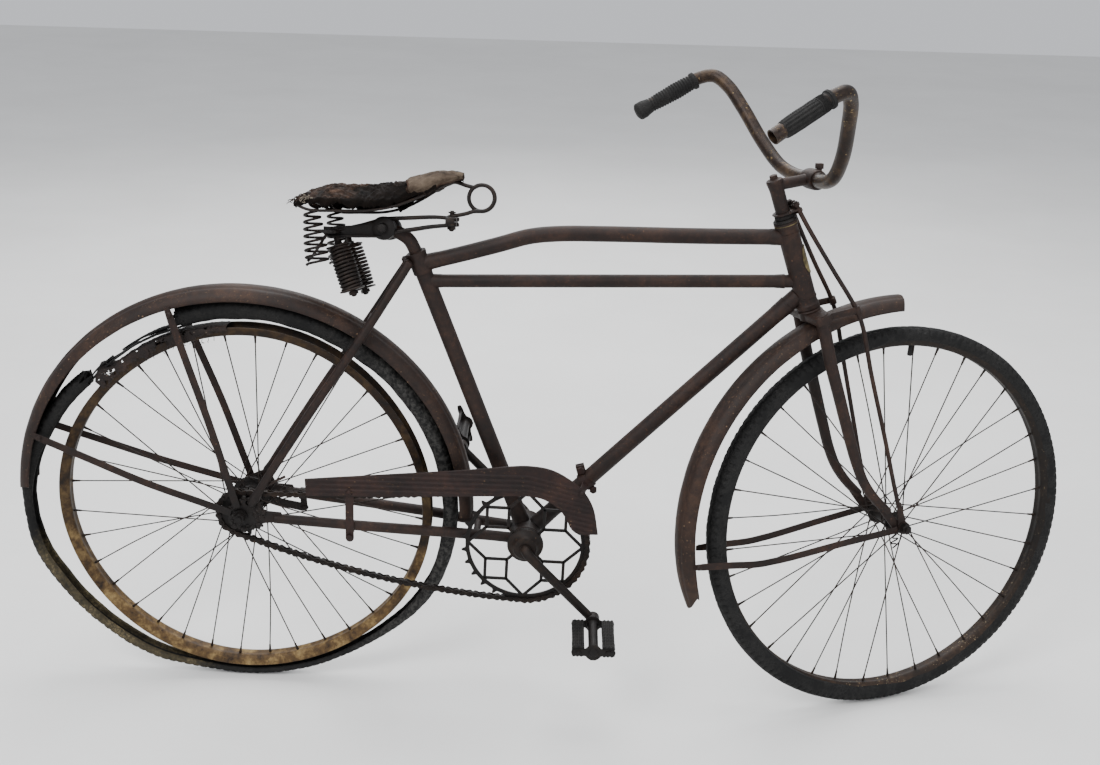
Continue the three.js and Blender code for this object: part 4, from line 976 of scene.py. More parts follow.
def chain_wheel():
    """The ring of teeth with its pattern of squares and struts, riveted to the hub disc."""
    middle = BOTTOM_BRACKET + Y_AXIS * CHAIN_Y
    ring = toothed_wheel(RING_TEETH, middle, 100, 128)
    lip = spun_ring([(98.6, -2.1), (101.6, -2.1), (102, -1.7), (102, 1.7), (101.6, 2.1), (98.6, 2.1),
                     (98.2, 1.7), (98.2, -1.7)], middle, 128)
    struts = []
    for quarter in range(4):
        turn = Matrix.Rotation(-(quarter * math.pi / 2 + math.radians(-1.5)), 3, "Y")
        near, far, apex, disc = 31, 69, 101, 20
        for x0, z0, x1, z1 in ((near, near, far, near), (near, near, near, far), (far, near, far, far),
                               (near, far, far, far), (far, near, apex, 0), (near, far, 0, apex),
                               (far, far, 73, 73), (disc, disc, near, near)):
            start, end = turn @ Vector((x0, 0, z0)), turn @ Vector((x1, 0, z1))
            along = (end - start).normalized() * 2.0
            struts.append(bar(middle + start - along, middle + end + along, 5.6, 3.4, bevel=0.9))
    disc_rows = [(9.4, -2.2), (20, -2.2), (22, -1.4), (31.2, -1.4), (32, -0.9), (32, 0.9), (31.2, 1.4),
                 (9.4, 1.4)]
    disc_piece = spun_ring(disc_rows, middle, 72)
    rivets = [dome(around(middle, 26, 45 * i + 20, CHAIN_Y - WHEEL_PLATE_HALF), -Y_AXIS, 2.6, 1.6, 12)
              for i in range(8)]
    return settle(joined(ring, lip, struts, disc_piece, rivets), "chain_wheel", "crank",
                  "grease", "chainring")


def crank_set():
    def at(y, out=0.0, sign=-1):
        return BOTTOM_BRACKET + Y_AXIS * y - CRANK_WAY * sign * out
    parts = [rod(at(-70), at(70), 9, sides=36)]
    for _, sign in SIDES:
        y = sign * CRANK_ARM_Y
        path = smooth_path([at(sign * 60, 0, sign), at(sign * 70, 1.5, sign), at(sign * 76.2, 9, sign),
                            at(y, 30, sign), at(y, 100, sign), at(y, CRANK_LENGTH - 6, sign)], 10)
        last = len(path) - 1
        radii = [1.02 - 0.2 * i / last for i in range(last + 1)]
        arm = tube(path, 9.3, 36, radii=radii)
        end = at(y, CRANK_LENGTH, sign)
        boss = [(4.8, -9), (10.8, -9), (12, -7.8), (12, 7.8), (10.8, 9), (4.8, 9)]
        parts += [arm, spun_ring(boss, end, 40)]
    parts += [turned([(9, 0), (31, 0), (31, 2.2), (27, 4), (22, 9), (20, 14), (15, 15.5), (9, 15.5)],
                     at(-50.5), at(-60), 56, ring=True),
              turned([(9, 0), (21, 0), (21, 4), (15, 7), (9, 7)], at(-35.5), at(-44), 48, ring=True),
              turned([(9, 0), (24, 0), (24, 3.5), (19, 6), (16, 12), (9, 12)], at(36), at(44), 48,
                     ring=True),
              hexagon_nut(at(53), Y_AXIS, 34, 7),
              rod(at(-52, 22, -1) + Vector((0, 0, 4)), at(-63, 22, -1) + Vector((0, 0, 4)), 4.4,
                  sides=20, bevel=0.8)]
    return settle(joined(parts), "one_piece_crank", "crank", "chain", "crank", slot="frame_rust")


def pedal(side, sign):
    """A pedal drawn round its own axle, then carried to the end of its crank arm."""
    home = Matrix.Translation(BOTTOM_BRACKET - CRANK_WAY * CRANK_LENGTH * sign)
    if sign > 0:
        home = home @ Matrix.Rotation(math.radians(LEFT_PEDAL_TILT), 4, "Y")
    upper = [(-37, 3.5), (-30, 5), (-20, 5.5), (-13, 7.5), (-9, 12), (-4, 15), (4, 15), (9, 12), (13, 7.5),
             (20, 5.5), (30, 5), (37, 3.5)]
    outline = [(-38, 0), *upper, (38, 0)] + [(x, -z) for x, z in reversed(upper)]
    metal = [rod((0, sign * (CRANK_ARM_Y + 9.2), 0), (0, sign * 188, 0), 4.5, sides=24)]
    barrel = [(4, 0), (9, 0), (10.2, 2), (10.2, 6), (9.2, 8), (8.6, 14), (8.4, 84), (9.4, 90),
              (9.6, 95), (7.4, 98.5), (3, 99.5), (0, 99.5)]
    metal.append(turned(barrel, (0, sign * (PEDAL_INNER_Y + 1), 0), (0, sign * PEDAL_OUTER_Y, 0), 40))
    metal.append(hexagon_nut((0, sign * (CRANK_ARM_Y + 12), 0), Y_AXIS, 15, 4.5))
    for y in (PEDAL_INNER_Y, PEDAL_OUTER_Y - 2):
        low, high = sorted((sign * y, sign * (y + 2.2)))
        metal.append(plate(outline, low, high, 0.5))
        for x in (-26, 26):
            metal += [hexagon_nut((x, sign * (y + (4.2 if y > 100 else -1.6)), 0), Y_AXIS, 8, 3.2)]
    for x in (-26, 26):
        metal.append(rod((x, sign * (PEDAL_INNER_Y - 3), 0), (x, sign * (PEDAL_OUTER_Y + 3.4), 0),
                         2.6, sides=20))
    cage = joined(metal)
    cage.data.transform(home)
    settle(cage, f"pedal_frame_{side}", f"pedal_{side}", "grease", f"pedal_cage_{side}")
    if sign > 0:
        return
    section = []
    for x0, z0, x1, z1 in ((-10, -9, 10, -9), (10, -9, 10, 9), (10, 9, -10, 9), (-10, 9, -10, -9)):
        for i in range(12):
            t = i / 12
            x, z = x0 + (x1 - x0) * t, z0 + (z1 - z0) * t
            rib = 1.6 if 0.12 < (t * 3) % 1 < 0.72 else 0.0
            if z0 == z1:
                z += math.copysign(rib, z)
            else:
                x += math.copysign(rib * 0.6, x)
            section.append((x, z))
    for place, x in (("front", 26), ("back", -26)):
        low, high = PEDAL_INNER_Y + 2.7, PEDAL_OUTER_Y - 2.4

        def spot(t, a, b, x=x, low=low, high=high):
            worn = 1 - 0.05 * math.sin(math.pi * t) - 0.03 * ripple(t * 9, a * 0.2, b * 0.2 + x)
            notch = 0.93 if (t * 9) % 1 < 0.14 else 1.0
            return Vector((x + a * worn * notch, sign * (low + (high - low) * t), b * worn * notch))
        block = swept(section, 63, spot)
        block.data.transform(home)
        settle(block, f"pedal_block_{place}", f"pedal_{side}", "pedal_rubber",
               f"pedal_rubber_{place}", smooth=30)


# Saddle: leather top on a sprung carrier. Each row is an X and what the leather measures there.
SADDLE_HALF_WIDTH = [(112, 62), (122, 84), (136, 95), (178, 101), (235, 75), (290, 42), (340, 29),
                     (366, 22), (378, 8)]
SADDLE_TOP = [(112, 549), (141, 565), (170, 574), (223, 576), (252, 580), (280, 585), (292, 590),
              (317, 598), (349, 604), (378, 601)]
SADDLE_DROOP = [(112, 12), (150, 22), (200, 27), (260, 27), (302, 20), (340, 15), (376, 5)]
SADDLE_SKIRT = [(112, 2), (135, 10), (200, 14), (260, 14), (300, 13), (340, 12), (378, 6)]


def leather_point(x, side, out=0.0):
    """A point of the saddle's top: side from -1 to 1 reaches its edge, and beyond that the hanging skirt."""
    reach = abs(side)
    crown, drop = min(reach, 1.0), max(reach - 1.0, 0.0) / 0.3
    half = between(SADDLE_HALF_WIDTH, x)
    hang = 0.85 + 0.6 * ripple(x * 0.045, side, 1.7)
    y = math.copysign(half * crown + out + 3.0 * math.sin(drop * 2.0) - 8 * drop * drop * hang, side)
    sunk = between(SADDLE_DROOP, x) * crown ** 2.3 + between(SADDLE_SKIRT, x) * drop * hang
    return Vector((x, y, between(SADDLE_TOP, x) - sunk + out))


def creases(x, y, side):
    """How far the leather's folds stand up: one long fold to each side and many small ones."""
    place = Vector((x * 0.03, y * 0.022, side * 0.4))
    warp = noise.noise(place * 1.3) * 2.0
    ridges = 1.0 - abs(ripple(x * 0.055 + warp, y * 0.03, 3)) * 2.4
    fine = 1.0 - abs(ripple(x * 0.13 + warp, y * 0.07, 7)) * 2.2
    return 3.4 * max(ridges, -0.6) + 1.3 * max(fine, -0.5) + noise.noise(place * 2.2) * 3.2 - 3.2


def saddle_leather():
    """A stretched leather top, wrinkled and sunk, its skirt hanging and its rear edge torn."""
    def top_spot(u, v):
        return SADDLE_BACK_X + SADDLE_TOP_LENGTH * u, (2 * v - 1) * 1.3

    def spot(u, v):
        x, side = top_spot(u, v)
        point = leather_point(x, side)
        soft = 1.0 if x < 270 else max(0.35, 1.0 - (x - 270) / 60)
        point.z += creases(x, point.y, side) * soft
        if x < 152:
            share = ((152 - x) / 40) ** 1.4
            fray = ripple(point.y * 0.11, 4, 2) * 9 + ripple(point.y * 0.37, 1, 5) * 5
            point.x += share * max(fray, -5)
            point.z += share * (4 * ripple(point.y * 0.16, 7, 2) + (3 if point.y < -20 else 0))
        return point

    def worn(u, v):
        x, side = top_spot(u, v)
        # Lower numbers are darker: past the edge the hanging skirt and the hollows of the folds are painted
        # in shadow, and the leather is also darker across x 245 and along the sides at x 292
        brown = 0.5 - 0.75 * max(0.0, abs(side) - 0.93) / 0.2
        brown -= 0.5 * hump(x, 245, 26) * (0.35 + abs(side))
        brown -= 0.45 * hump(x, 292, 16) * abs(side)
        return brown - 0.4 * max(0.0, -creases(x, side * between(SADDLE_HALF_WIDTH, x), side) / 6)
    top = sheet(180, 150, spot, worn)
    modified(top, "SOLIDIFY", thickness=3.8, offset=-1.0)
    cleaned(top)
    roughened(top, 0.8, 0.13)
    settle(top, "saddle_leather_top", "saddle", "leather", "saddle_leather", smooth=60)

    def nose(u, v):
        side = (2 * v - 1) * 1.42
        x = 286 + 92 * u
        x += (1 - u) * (9 * ripple(side * 2.1, 5, 5) - 7 * side * abs(side) * (1 if side < 0 else 0.2))
        point = leather_point(min(x, SADDLE_TIP_X), side, 2.6)
        point.z += 1.6 * ripple(x * 0.05, side * 1.2, 9) + 0.8 * ripple(x * 0.14, side * 2, 4)
        return point

    def nose_wear(u, v):
        return 0.98 - 0.75 * max(0.0, abs(2 * v - 1) - 0.86) / 0.14 - 0.5 * max(0.0, 0.06 - u) / 0.06
    flap = sheet(90, 80, nose, nose_wear)
    modified(flap, "SOLIDIFY", thickness=3.4, offset=-1.0)
    cleaned(flap)
    roughened(flap, 0.6, 0.12, 4)
    settle(flap, "saddle_nose_flap", "saddle", "leather", smooth=60)

    scraps = []
    for i in range(26):
        y = -96 + 192 * i / 25 + 3 * ripple(i * 1.3, 2, 2)
        start = Vector((118 + 5 * ripple(i * 0.9, 1, 1), y, between(SADDLE_TOP, 118) - 12 * (y / 90) ** 2))
        away = Vector((-8 - 7 * ripple(i, 3, 1), 4 * ripple(i * 2.1, 4, 1),
                       -3 + 8 * ripple(i * 1.7, 5, 1)))
        width = 1.6 + 1.8 * abs(ripple(i * 1.1, 6, 3))

        def curl(t, a, b, start=start, away=away, width=width):
            return start + away * t + Vector((0, a * width * (1.15 - t), 1.3 * b + 2.5 * math.sin(3 * t)))
        scraps.append(swept([(-1, -0.5), (1, -0.5), (1, 0.5), (-1, 0.5)], 8, curl,
                            wear=lambda t, a, b: 0.36))
    settle(joined(scraps), "torn_saddle_edge", "saddle", "leather", smooth=60)

    tufts = []
    for i in range(34):
        seed = i * 1.31
        base = leather_point(133 + 30 * abs(ripple(seed, 1, 8)), -1.0 - 0.1 * ripple(seed, 2, 8))
        base += Vector((0, -1.5, 3 + 5 * ripple(seed, 3, 8)))
        turn = [Vector((ripple(seed, k, 3), -abs(ripple(seed, k, 5)) * 0.6, ripple(seed, k, 7))) * 6
                for k in (1, 2, 3)]
        bend = base + turn[0]
        tufts.append(tube(smooth_path([base, bend, bend + turn[1], bend + turn[2]], 3), 0.55, 5))
    settle(joined(tufts), "saddle_stuffing_threads", "saddle", "threads", smooth=60)

    lump = rod((324, 0, 578), (346, 0, 581), 8, 6, 20, 1.5)
    roughened(modified(lump, "SUBSURF", levels=2, render_levels=2), 2.5, 0.09, 2)
    rivets = [dome((x, sign * y, z), (0, sign * y / 60, 1), 4.2, 2.0, 16)
              for x, y, z in ((368, 8, 604), (136, 62, 556), (133, 26, 562)) for _, sign in SIDES]
    return settle(joined(lump, rivets), "saddle_rivets_and_nose_piece", "saddle", "spring")


def spiral(centre, axis, first, radius_at, height, turns, wire):
    """A coil of wire along an axis. radius_at(t) is its radius, and first the way its turns begin."""
    centre, axis = Vector(centre), Vector(axis).normalized()
    first = (Vector(first) - axis * Vector(first).dot(axis)).normalized()
    second = axis.cross(first)
    count = int(turns * 20)
    points = []
    for i in range(count + 1):
        t = i / count
        a = 2 * math.pi * (turns * t)
        points.append(centre + axis * height * t
                      + (first * math.cos(a) + second * math.sin(a)) * radius_at(t))
    return tube(points, wire, 10)


def saddle_frame():
    ring = Vector((410, 0, 564))
    turns = [Vector((ring.x + 21.5 * math.cos(a), 3.6 - 7.2 * t, ring.z + 21.5 * math.sin(a)))
             for t, a in ((i / 70, math.radians(130 - 580 * i / 70)) for i in range(71))]
    nose = smooth_path([(348, 5, 590), (366, 4.6, 588), (382, 4.2, 583.5), turns[0]], 6)[:-1]
    tail = smooth_path([turns[-1], (398, -3.6, 541.5), (386, -2, 537.5), (356, -1, 530)], 6)[1:]
    wires = [tube(nose + turns + tail, 3.4, 16)]
    for _, sign in SIDES:
        upper = on_side(sign, (372, 12, 527), (340, 13.5, 529), (290, 17, 525), (254, 20, 521),
                        (214, 28, 508), (180, 40, 499))
        lower = on_side(sign, (372, 12, 518.5), (330, 14, 513), (290, 17.5, 505), (254, 21, 499),
                        (226, 24, 496))
        edge = on_side(sign, (120, 60, 542), (124, 84, 536), (146, 93, 529), (190, 88, 530), (235, 69, 533),
                       (275, 45, 543), (310, 26, 560), (340, 12, 578), (362, 5, 588))
        for points, radius, sides in ((upper, 3.2, 16), (lower, 3.2, 16), (edge, 2.4, 14)):
            wires.append(tube(smooth_path(points), radius, sides))
    wires.append(tube(smooth_path([(120, -60, 542), (115, -30, 547), (114, 0, 549), (115, 30, 547),
                                   (120, 60, 542)], 8), 3, 14))
    block = bar((362, -20, 523), (362, 20, 523), 15, 13, (0, 0, 1), 1.6)
    roughened(block, 0.5, 0.2)
    bolt = [rod((362, 0, 508), (362, 0, 541), 3.2, sides=20),
            turned([(0, 0), (8.5, 0), (8.5, 1.6), (4, 1.8), (4, 5.5), (6.4, 6), (6.4, 8), (0, 8.4)],
                   (362, 0, 531), (362, 0, 600), 24),
            hexagon_nut((362, 0, 512.2), (0, 0, 1), 13, 5),
            dome((362, 0, 509.6), (0, 0, -1), 4.6, 3)]
    return settle(joined(wires, block, bolt), "saddle_wire_frame", "saddle", "spring", "saddle_wires")


def saddle_clamp():
    parts = []
    seat = Vector((254, 0, 506))
    for _, sign in SIDES:
        rows = [(0, 11), (12, 11), (19.4, 14), (19.6, 16), (19.6, 20), (18.6, 21), (19.4, 22.5),
                (19.4, 30), (17.5, 31.5), (9, 32.4), (8, 36), (5, 38.4), (0, 39)]
        parts.append(turned(rows, seat, seat + Y_AXIS * sign, 48))
        teeth = [bar(around(seat, 15, 20 * i, sign * 21), around(seat, 19.4, 20 * i, sign * 21), 1.2,
                     1.6, bevel=0) for i in range(18)]
        parts += teeth
    parts += [rod(seat - Y_AXIS * 42, seat + Y_AXIS * 42, 4.2, sides=20),
              hexagon_nut(seat - Y_AXIS * 40, Y_AXIS, 13, 5),
              rod(seat - Y_AXIS * 14, seat + Y_AXIS * 14, 14.5, sides=32, bevel=1.5)]
    return settle(joined(parts), "saddle_clamp_discs", "saddle", "grease", "saddle_clamp")


def seat_post():
    path = smooth_path([seat_tube_at(447), seat_tube_at(470), (291, 0, 487), (276, 0, 498),
                        (252, 0, 506.5)], 10)
    return settle(tube(path, 11, 36), "bent_seat_post", "frame", "frame", "seat_post", slot="bar_rust")


def spring_carrier():
    up = (0, 0, 1)
    parts = []
    for _, sign in SIDES:
        outline = [(262, 516), (244, 515), (206, 508), (176, 505), (160, 501), (156, 494), (162, 488),
                   (178, 487), (214, 488), (246, 491), (268, 492), (271, 503)]
        wing = plate(outline, -1.6, 1.6, 0.8)
        for vertex in wing.data.vertices:
            vertex.co.y += sign * (25 + (262 - vertex.co.x) * 0.17)
        parts.append(wing)
        parts.append(bar((252, sign * 27, 491.5), (166, sign * 43, 488.5), 17, 3.0, up, 0.8))
    cross = bar((176, -97, 496), (176, 97, 496), 20, 4.6, up, 1.2)
    ends = [turned([(3, -3), (12.5, -3), (12.5, 3), (3, 3)], (176, y, 496), (176, y, 600), 32,
                   ring=True) for y in (-86, 86)]
    bolts = [hexagon_nut((176, y, 501.6), up, 12, 5) for y in (-86, -41, 41, 86)]
    return settle(joined(parts, cross, ends, bolts), "spring_carrier_plates", "saddle",
                  "grease", "spring_carrier")


def saddle_springs():
    for side, sign in SIDES:
        top, foot = Vector((184, sign * 42, 474)), Vector((211, sign * 42, 402))
        along = (foot - top).normalized()
        parts = [spiral(top + along * 3, along, (1, 0, 0), lambda t: 15.9 + 0.9 * math.sin(math.pi * t),
                        (foot - top).length - 7, 11.5, 2.65)]
        square = 17.6 if sign < 0 else 16.8
        for at in (top + along * 0.5, foot - along * 1.5):
            parts.append(bar(at - along * 1.6, at + along * 1.6, 2 * square, 2 * square, Y_AXIS, 1.0))
        parts += [rod(top - along * 16, foot + along * 9, 4.6, sides=24),
                  hexagon_nut(foot + along * 4, along, 14, 6),
                  dome(foot + along * 8, along, 4.4, 2.5), hexagon_nut(top - along * 4, along, 12, 4)]
        settle(joined(parts), f"barrel_spring_coils_{side}", "saddle", "spring", f"barrel_spring_{side}")

        high, low = Vector((145, sign * 74, 527)), Vector((159, sign * 74, 443))
        down = low - high

        def widening(t):
            return 11.5 + 6.2 * math.sin(math.pi * min(t * 1.2, 1.0) / 2)
        coil = spiral(high, down, (1, 0, 0), widening, down.length, 7.5, 2.15)
        hook = tube(smooth_path([high + Vector((11.5, 0, 0)), high + Vector((8, 0, 5)),
                                 (144, sign * 75, 536), (138, sign * 76, 545)], 6), 2.15, 12)
        link = tube(smooth_path([low + Vector((-17, 0, 3)), low + Vector((-10, -sign * 3, 12)),
                                 (162, sign * 76, 474), (174, sign * 84, 492)], 6), 2.4, 12)
        settle(joined(coil, hook, link), f"coil_spring_wire_{side}", "saddle",
               "spring", f"coil_spring_{side}")


# Wheels. Half of a rim's section as (across, radius): its underside out to the edge, then its bed back.
RIM_UNDER = [(4.0, 310.9), (8.0, 310.1), (11.6, 311.0), (13.6, 313.8), (15.8, 319.5), (17.4, 324.0),
             (18.0, 325.6)]
RIM_OVER = [(17.0, 327.0), (15.2, 326.6), (14.6, 325.0), (13.6, 320.0), (11.8, 315.2), (9.6, 313.2)]
RIM_SECTION = ([(-a, r) for a, r in reversed(RIM_UNDER)] + [(0.0, 311.3)] + RIM_UNDER + RIM_OVER
               + [(0.0, 313.0)] + [(-a, r) for a, r in reversed(RIM_OVER)])


def bent_rim(angle):
    """How far the bent rear rim stands out from a circle."""
    return (-0.6 * math.cos(3 * angle) - 1.8 * math.sin(3 * angle) + 1.5 * math.cos(4 * angle)
            - 1.6 * math.sin(4 * angle))


def rim_and_spokes(name, body, node, centre, flange_radius, flange_y, offset, finish, bows, narrow=1.0):
    """A hoop and its crossed spokes. offset(angle) moves it out, and bows says which spokes bend."""
    def place(t, across, radius):
        return around(centre, radius + offset(2 * math.pi * t), 360 * t,
                      narrow * across + 0.5 * math.sin(9 * t))
    rim = swept(RIM_SECTION, 288, place, closed=True)
    spokes, nipples = [], []
    for i in range(SPOKES):
        rim_angle = 360 * (i + 0.5) / SPOKES
        side = 1 if i % 2 else -1
        lean = 1 if (i // 2) % 2 else -1
        hub_angle = rim_angle + lean * SPOKE_CROSS
        hub_y = side * (flange_y + (4.4 if lean > 0 else -3.4))
        bed = RIM_BED + offset(math.radians(rim_angle))
        start = around(centre, flange_radius, hub_angle, hub_y)
        end = around(centre, bed, rim_angle, side * 3)
        sideways = (end - start).cross(Y_AXIS).normalized() * bows.get(i, 0.0)
        neck = end.lerp(start, 0.045)
        path = smooth_path([start, start.lerp(end, 0.33) + sideways * 0.8,
                            start.lerp(end, 0.66) + sideways, neck], 3)
        spokes.append(tube(path, 1.15, 8))
        nipples.append(turned([(0, 0), (1.7, 0), (2.0, 8), (2.4, 11), (2.4, 13.6), (0, 14.4)],
                              neck.lerp(start, 0.004), end, 10))
    settle(joined(spokes, nipples), f"{name}_spokes", body, "spoke")
    return settle(rim, f"{name}_rim_hoop", body, finish, node, smooth=42)


def front_tyre():
    """A narrow perished tyre, block-edged, slack and bulging off the rim at its lower rear."""
    centre = (WHEELBASE, 0, 0)

    def place(t, a, _):
        degrees = 360 * t
        turn = math.radians(a)
        slack = hump(degrees, 228, 13) + 0.6 * hump(degrees, 262, 12)
        sagging = min(max((degrees - 95) / 14, 0.0), 1.0) * min(max((262 - degrees) / 12, 0.0), 1.0)
        sunk = min(max((degrees - 50) / 30, 0.0), 1.0) * min(max((235 - degrees) / 30, 0.0), 1.0)
        flat = hump(degrees, 268, 7)
        across, out = math.sin(turn), math.cos(turn)
        half = 17.0 + 2.2 * flat + 1.2 * slack
        wide = abs(across) if out > 0 else min(1.0, abs(across) * (1 + 1.1 * sagging))
        y = half * math.copysign(wide ** 0.92, across)
        tread = 15.4 - 3.0 * sunk + 1.4 * hump(degrees, 270, 25)
        radius = 335.0 + (tread if out > 0 else 17.4) * math.copysign(abs(out) ** 0.95, out)
        if out > 0.12:
            beat = (degrees * TREAD_BEAT) % 1.0
            shoulder = hump(abs(across), 0.8, 0.2)
            gap = 1.0 if beat > 0.66 else 0.0
            zigzag = abs(beat - 0.5) * 2
            line = hump(abs(across) - 0.28, 0.2 * zigzag, 0.06)
            radius -= 2.8 * shoulder * gap + 1.6 * line
            y *= 1.0 - 0.08 * shoulder * gap
        radius += -2.0 * slack * max(-out, 0.0) - 2.0 * flat * max(out, 0.0) ** 2
        lump = ripple(degrees * 0.16, a * 0.03, 5)
        flake = abs(ripple(degrees * 0.9, a * 0.12, 2)) ** 2
        return around(centre, min(radius + 0.5 * lump - 1.6 * flake, TYRE_RADIUS), degrees, y + 0.7 * lump)
    tyre = swept(round_section(64), 1050, place, closed=True)
    return settle(tyre, "front_tyre_casing", "front_wheel", "tyre", "front_tyre", smooth=50)


def hub_shell(profile, centre, studs, flange_radius, flange_y):
    """A hub turned on its axle, with the spoke holes' rims on both flanges."""
    centre = Vector(centre)
    parts = [spun_ring(profile, centre, 64)]
    for i in range(studs):
        for y in (-flange_y, flange_y):
            hole = around(centre, flange_radius, 360 * (i + 0.5) / studs, y)
            parts.append(spun_ring([(1.6, -2.2), (2.6, -2.0), (2.6, 2.0), (1.6, 2.2)], hole, 8))
    return parts


def front_wheel():
    centre = (WHEELBASE, 0, 0)
    rim_and_spokes("front", "front_wheel", "front_rim", centre, 17, 30, lambda a: FRONT_RIM_OUT, "front_rim",
                   {3: 2.5, 10: -2.0, 17: 3.0, 25: -2.4, 31: 1.8}, 0.9)
    half = [(11.8, 20), (14, 27), (19.6, 28.4), (20.4, 29.1), (20.4, 30.9), (19.6, 31.6), (12.6, 33),
            (12, 36.5), (9.6, 39), (9, 41), (8.4, 42), (5.4, 42)]
    profile = [(radius, -along) for radius, along in reversed(half)] + [(11.2, 0)] + half
    hub = hub_shell(profile, centre, 18, 16.6, 30)
    hub.append(turned([(11.6, -3.4), (12.6, -3), (12.6, 3), (11.6, 3.4)], centre, (WHEELBASE, 1, 0),
                      40, ring=True))
    settle(joined(hub), "front_hub_shell", "front_wheel", "grease", "front_hub")
    front_tyre()
    valve_angle = 85.5
    valve_at, inward = around(centre, 316, valve_angle), around(centre, 280, valve_angle)
    valve = turned([(0, -2), (5.4, -2), (6, 0), (5.2, 3), (4.3, 4), (4.3, 13), (4.6, 13.6), (4.6, 19),
                    (3.4, 20.5), (0, 20.8)], valve_at, inward, 20)
    settle(valve, "front_valve", "front_wheel", "grip", slot="tyre_rubber")


def front_axle():
    centre = Vector((WHEELBASE, 0, 0))
    parts = [rod(centre - Y_AXIS * 76, centre + Y_AXIS * 76, 4.7, sides=28)]
    for i in range(8):
        for _, sign in SIDES:
            at = centre + Y_AXIS * sign * (71.6 + 0.55 * i)
            parts.append(spun_ring([(4.3, -0.2), (4.75, 0), (4.3, 0.2)], at, 20))
    for _, sign in SIDES:
        parts += [hexagon_nut(centre + Y_AXIS * sign * 66.6, Y_AXIS, 15.5, 8.4),
                  turned([(4.8, -0.7), (10, -0.7), (10, 0.7), (4.8, 0.7)],
                         centre + Y_AXIS * sign * 62, centre + Y_AXIS * sign * 70, 32, ring=True),
                  turned([(4.7, -2), (8, -2), (8, 2), (4.7, 2)], centre + Y_AXIS * sign * 46,
                         centre + Y_AXIS * sign * 70, 6, ring=True)]
    zigzag = [(-6, 8), (-10, -4), (-26, -13), (-12, -17), (-30, -22), (-14, -27), (-24, -32), (-8, -24),
              (-3, -8)]
    clip = tube(smooth_path([centre + Vector((x, -58 + 0.35 * x, z)) for x, z in zigzag], 4), 1.2, 8)
    return settle(joined(parts, clip), "front_axle_and_nuts", "steering", "grease", "front_axle")


def rear_wheel():
    rim_and_spokes("rear", "rear_wheel", "rear_rim", (0, 0, 0), 29, 29, bent_rim, "rear_rim",
                   {1: 3.5, 6: -3.0, 13: 2.2, 20: -4.0, 27: 3.0, 33: -2.0})
    profile = [(6, -41.5), (11.5, -41.5), (12.4, -40.4), (16, -37), (17.6, -34), (19, -32), (32, -31),
               (33, -30.2), (33, -28), (32, -27.2), (24, -26), (21.4, -22), (20.8, 0), (21.4, 22),
               (24, 26), (32, 27.2), (33, 28), (33, 30.2), (32, 31), (24.5, 31.6), (23.6, 36), (22, 40),
               (17, 43), (14, 45.4), (11, 46), (6, 46)]
    hub = hub_shell(profile, (0, 0, 0), 18, 29, 29)
    hub += [spun_ring([(20.6, y - 1.2), (22.2, y - 0.8), (22.2, y + 0.8), (20.6, y + 1.2)], (0, 0, 0), 48)
            for y in (-14, 14)]
    clip = spun_ring([(20.9, -5), (22.6, -5), (22.6, 5), (20.9, 5)], (0, 0, 0), 48)
    cup = turned([(0, 0), (3.6, 0), (3.6, 4.4), (2.6, 5.6), (0, 5.8)], (0, 0, 22), (0, 0, 30), 20)
    settle(joined(hub, clip, cup), "rear_hub_shell", "rear_wheel", "grease", "rear_hub")


def rear_cog():
    middle = Y_AXIS * CHAIN_Y
    cog = toothed_wheel(COG_TEETH, middle, 9.2, 48)
    boss = spun_ring([(9.2, -2.6), (17, -2.6), (19, -1.4), (30, -1.5), (31, -0.5), (31, 0.5), (30, 1.5),
                      (19, 1.4), (9.2, 1.4)], middle, 56)
    return settle(joined(cog, boss), "rear_sprocket", "sprocket", "grease", "rear_cog")


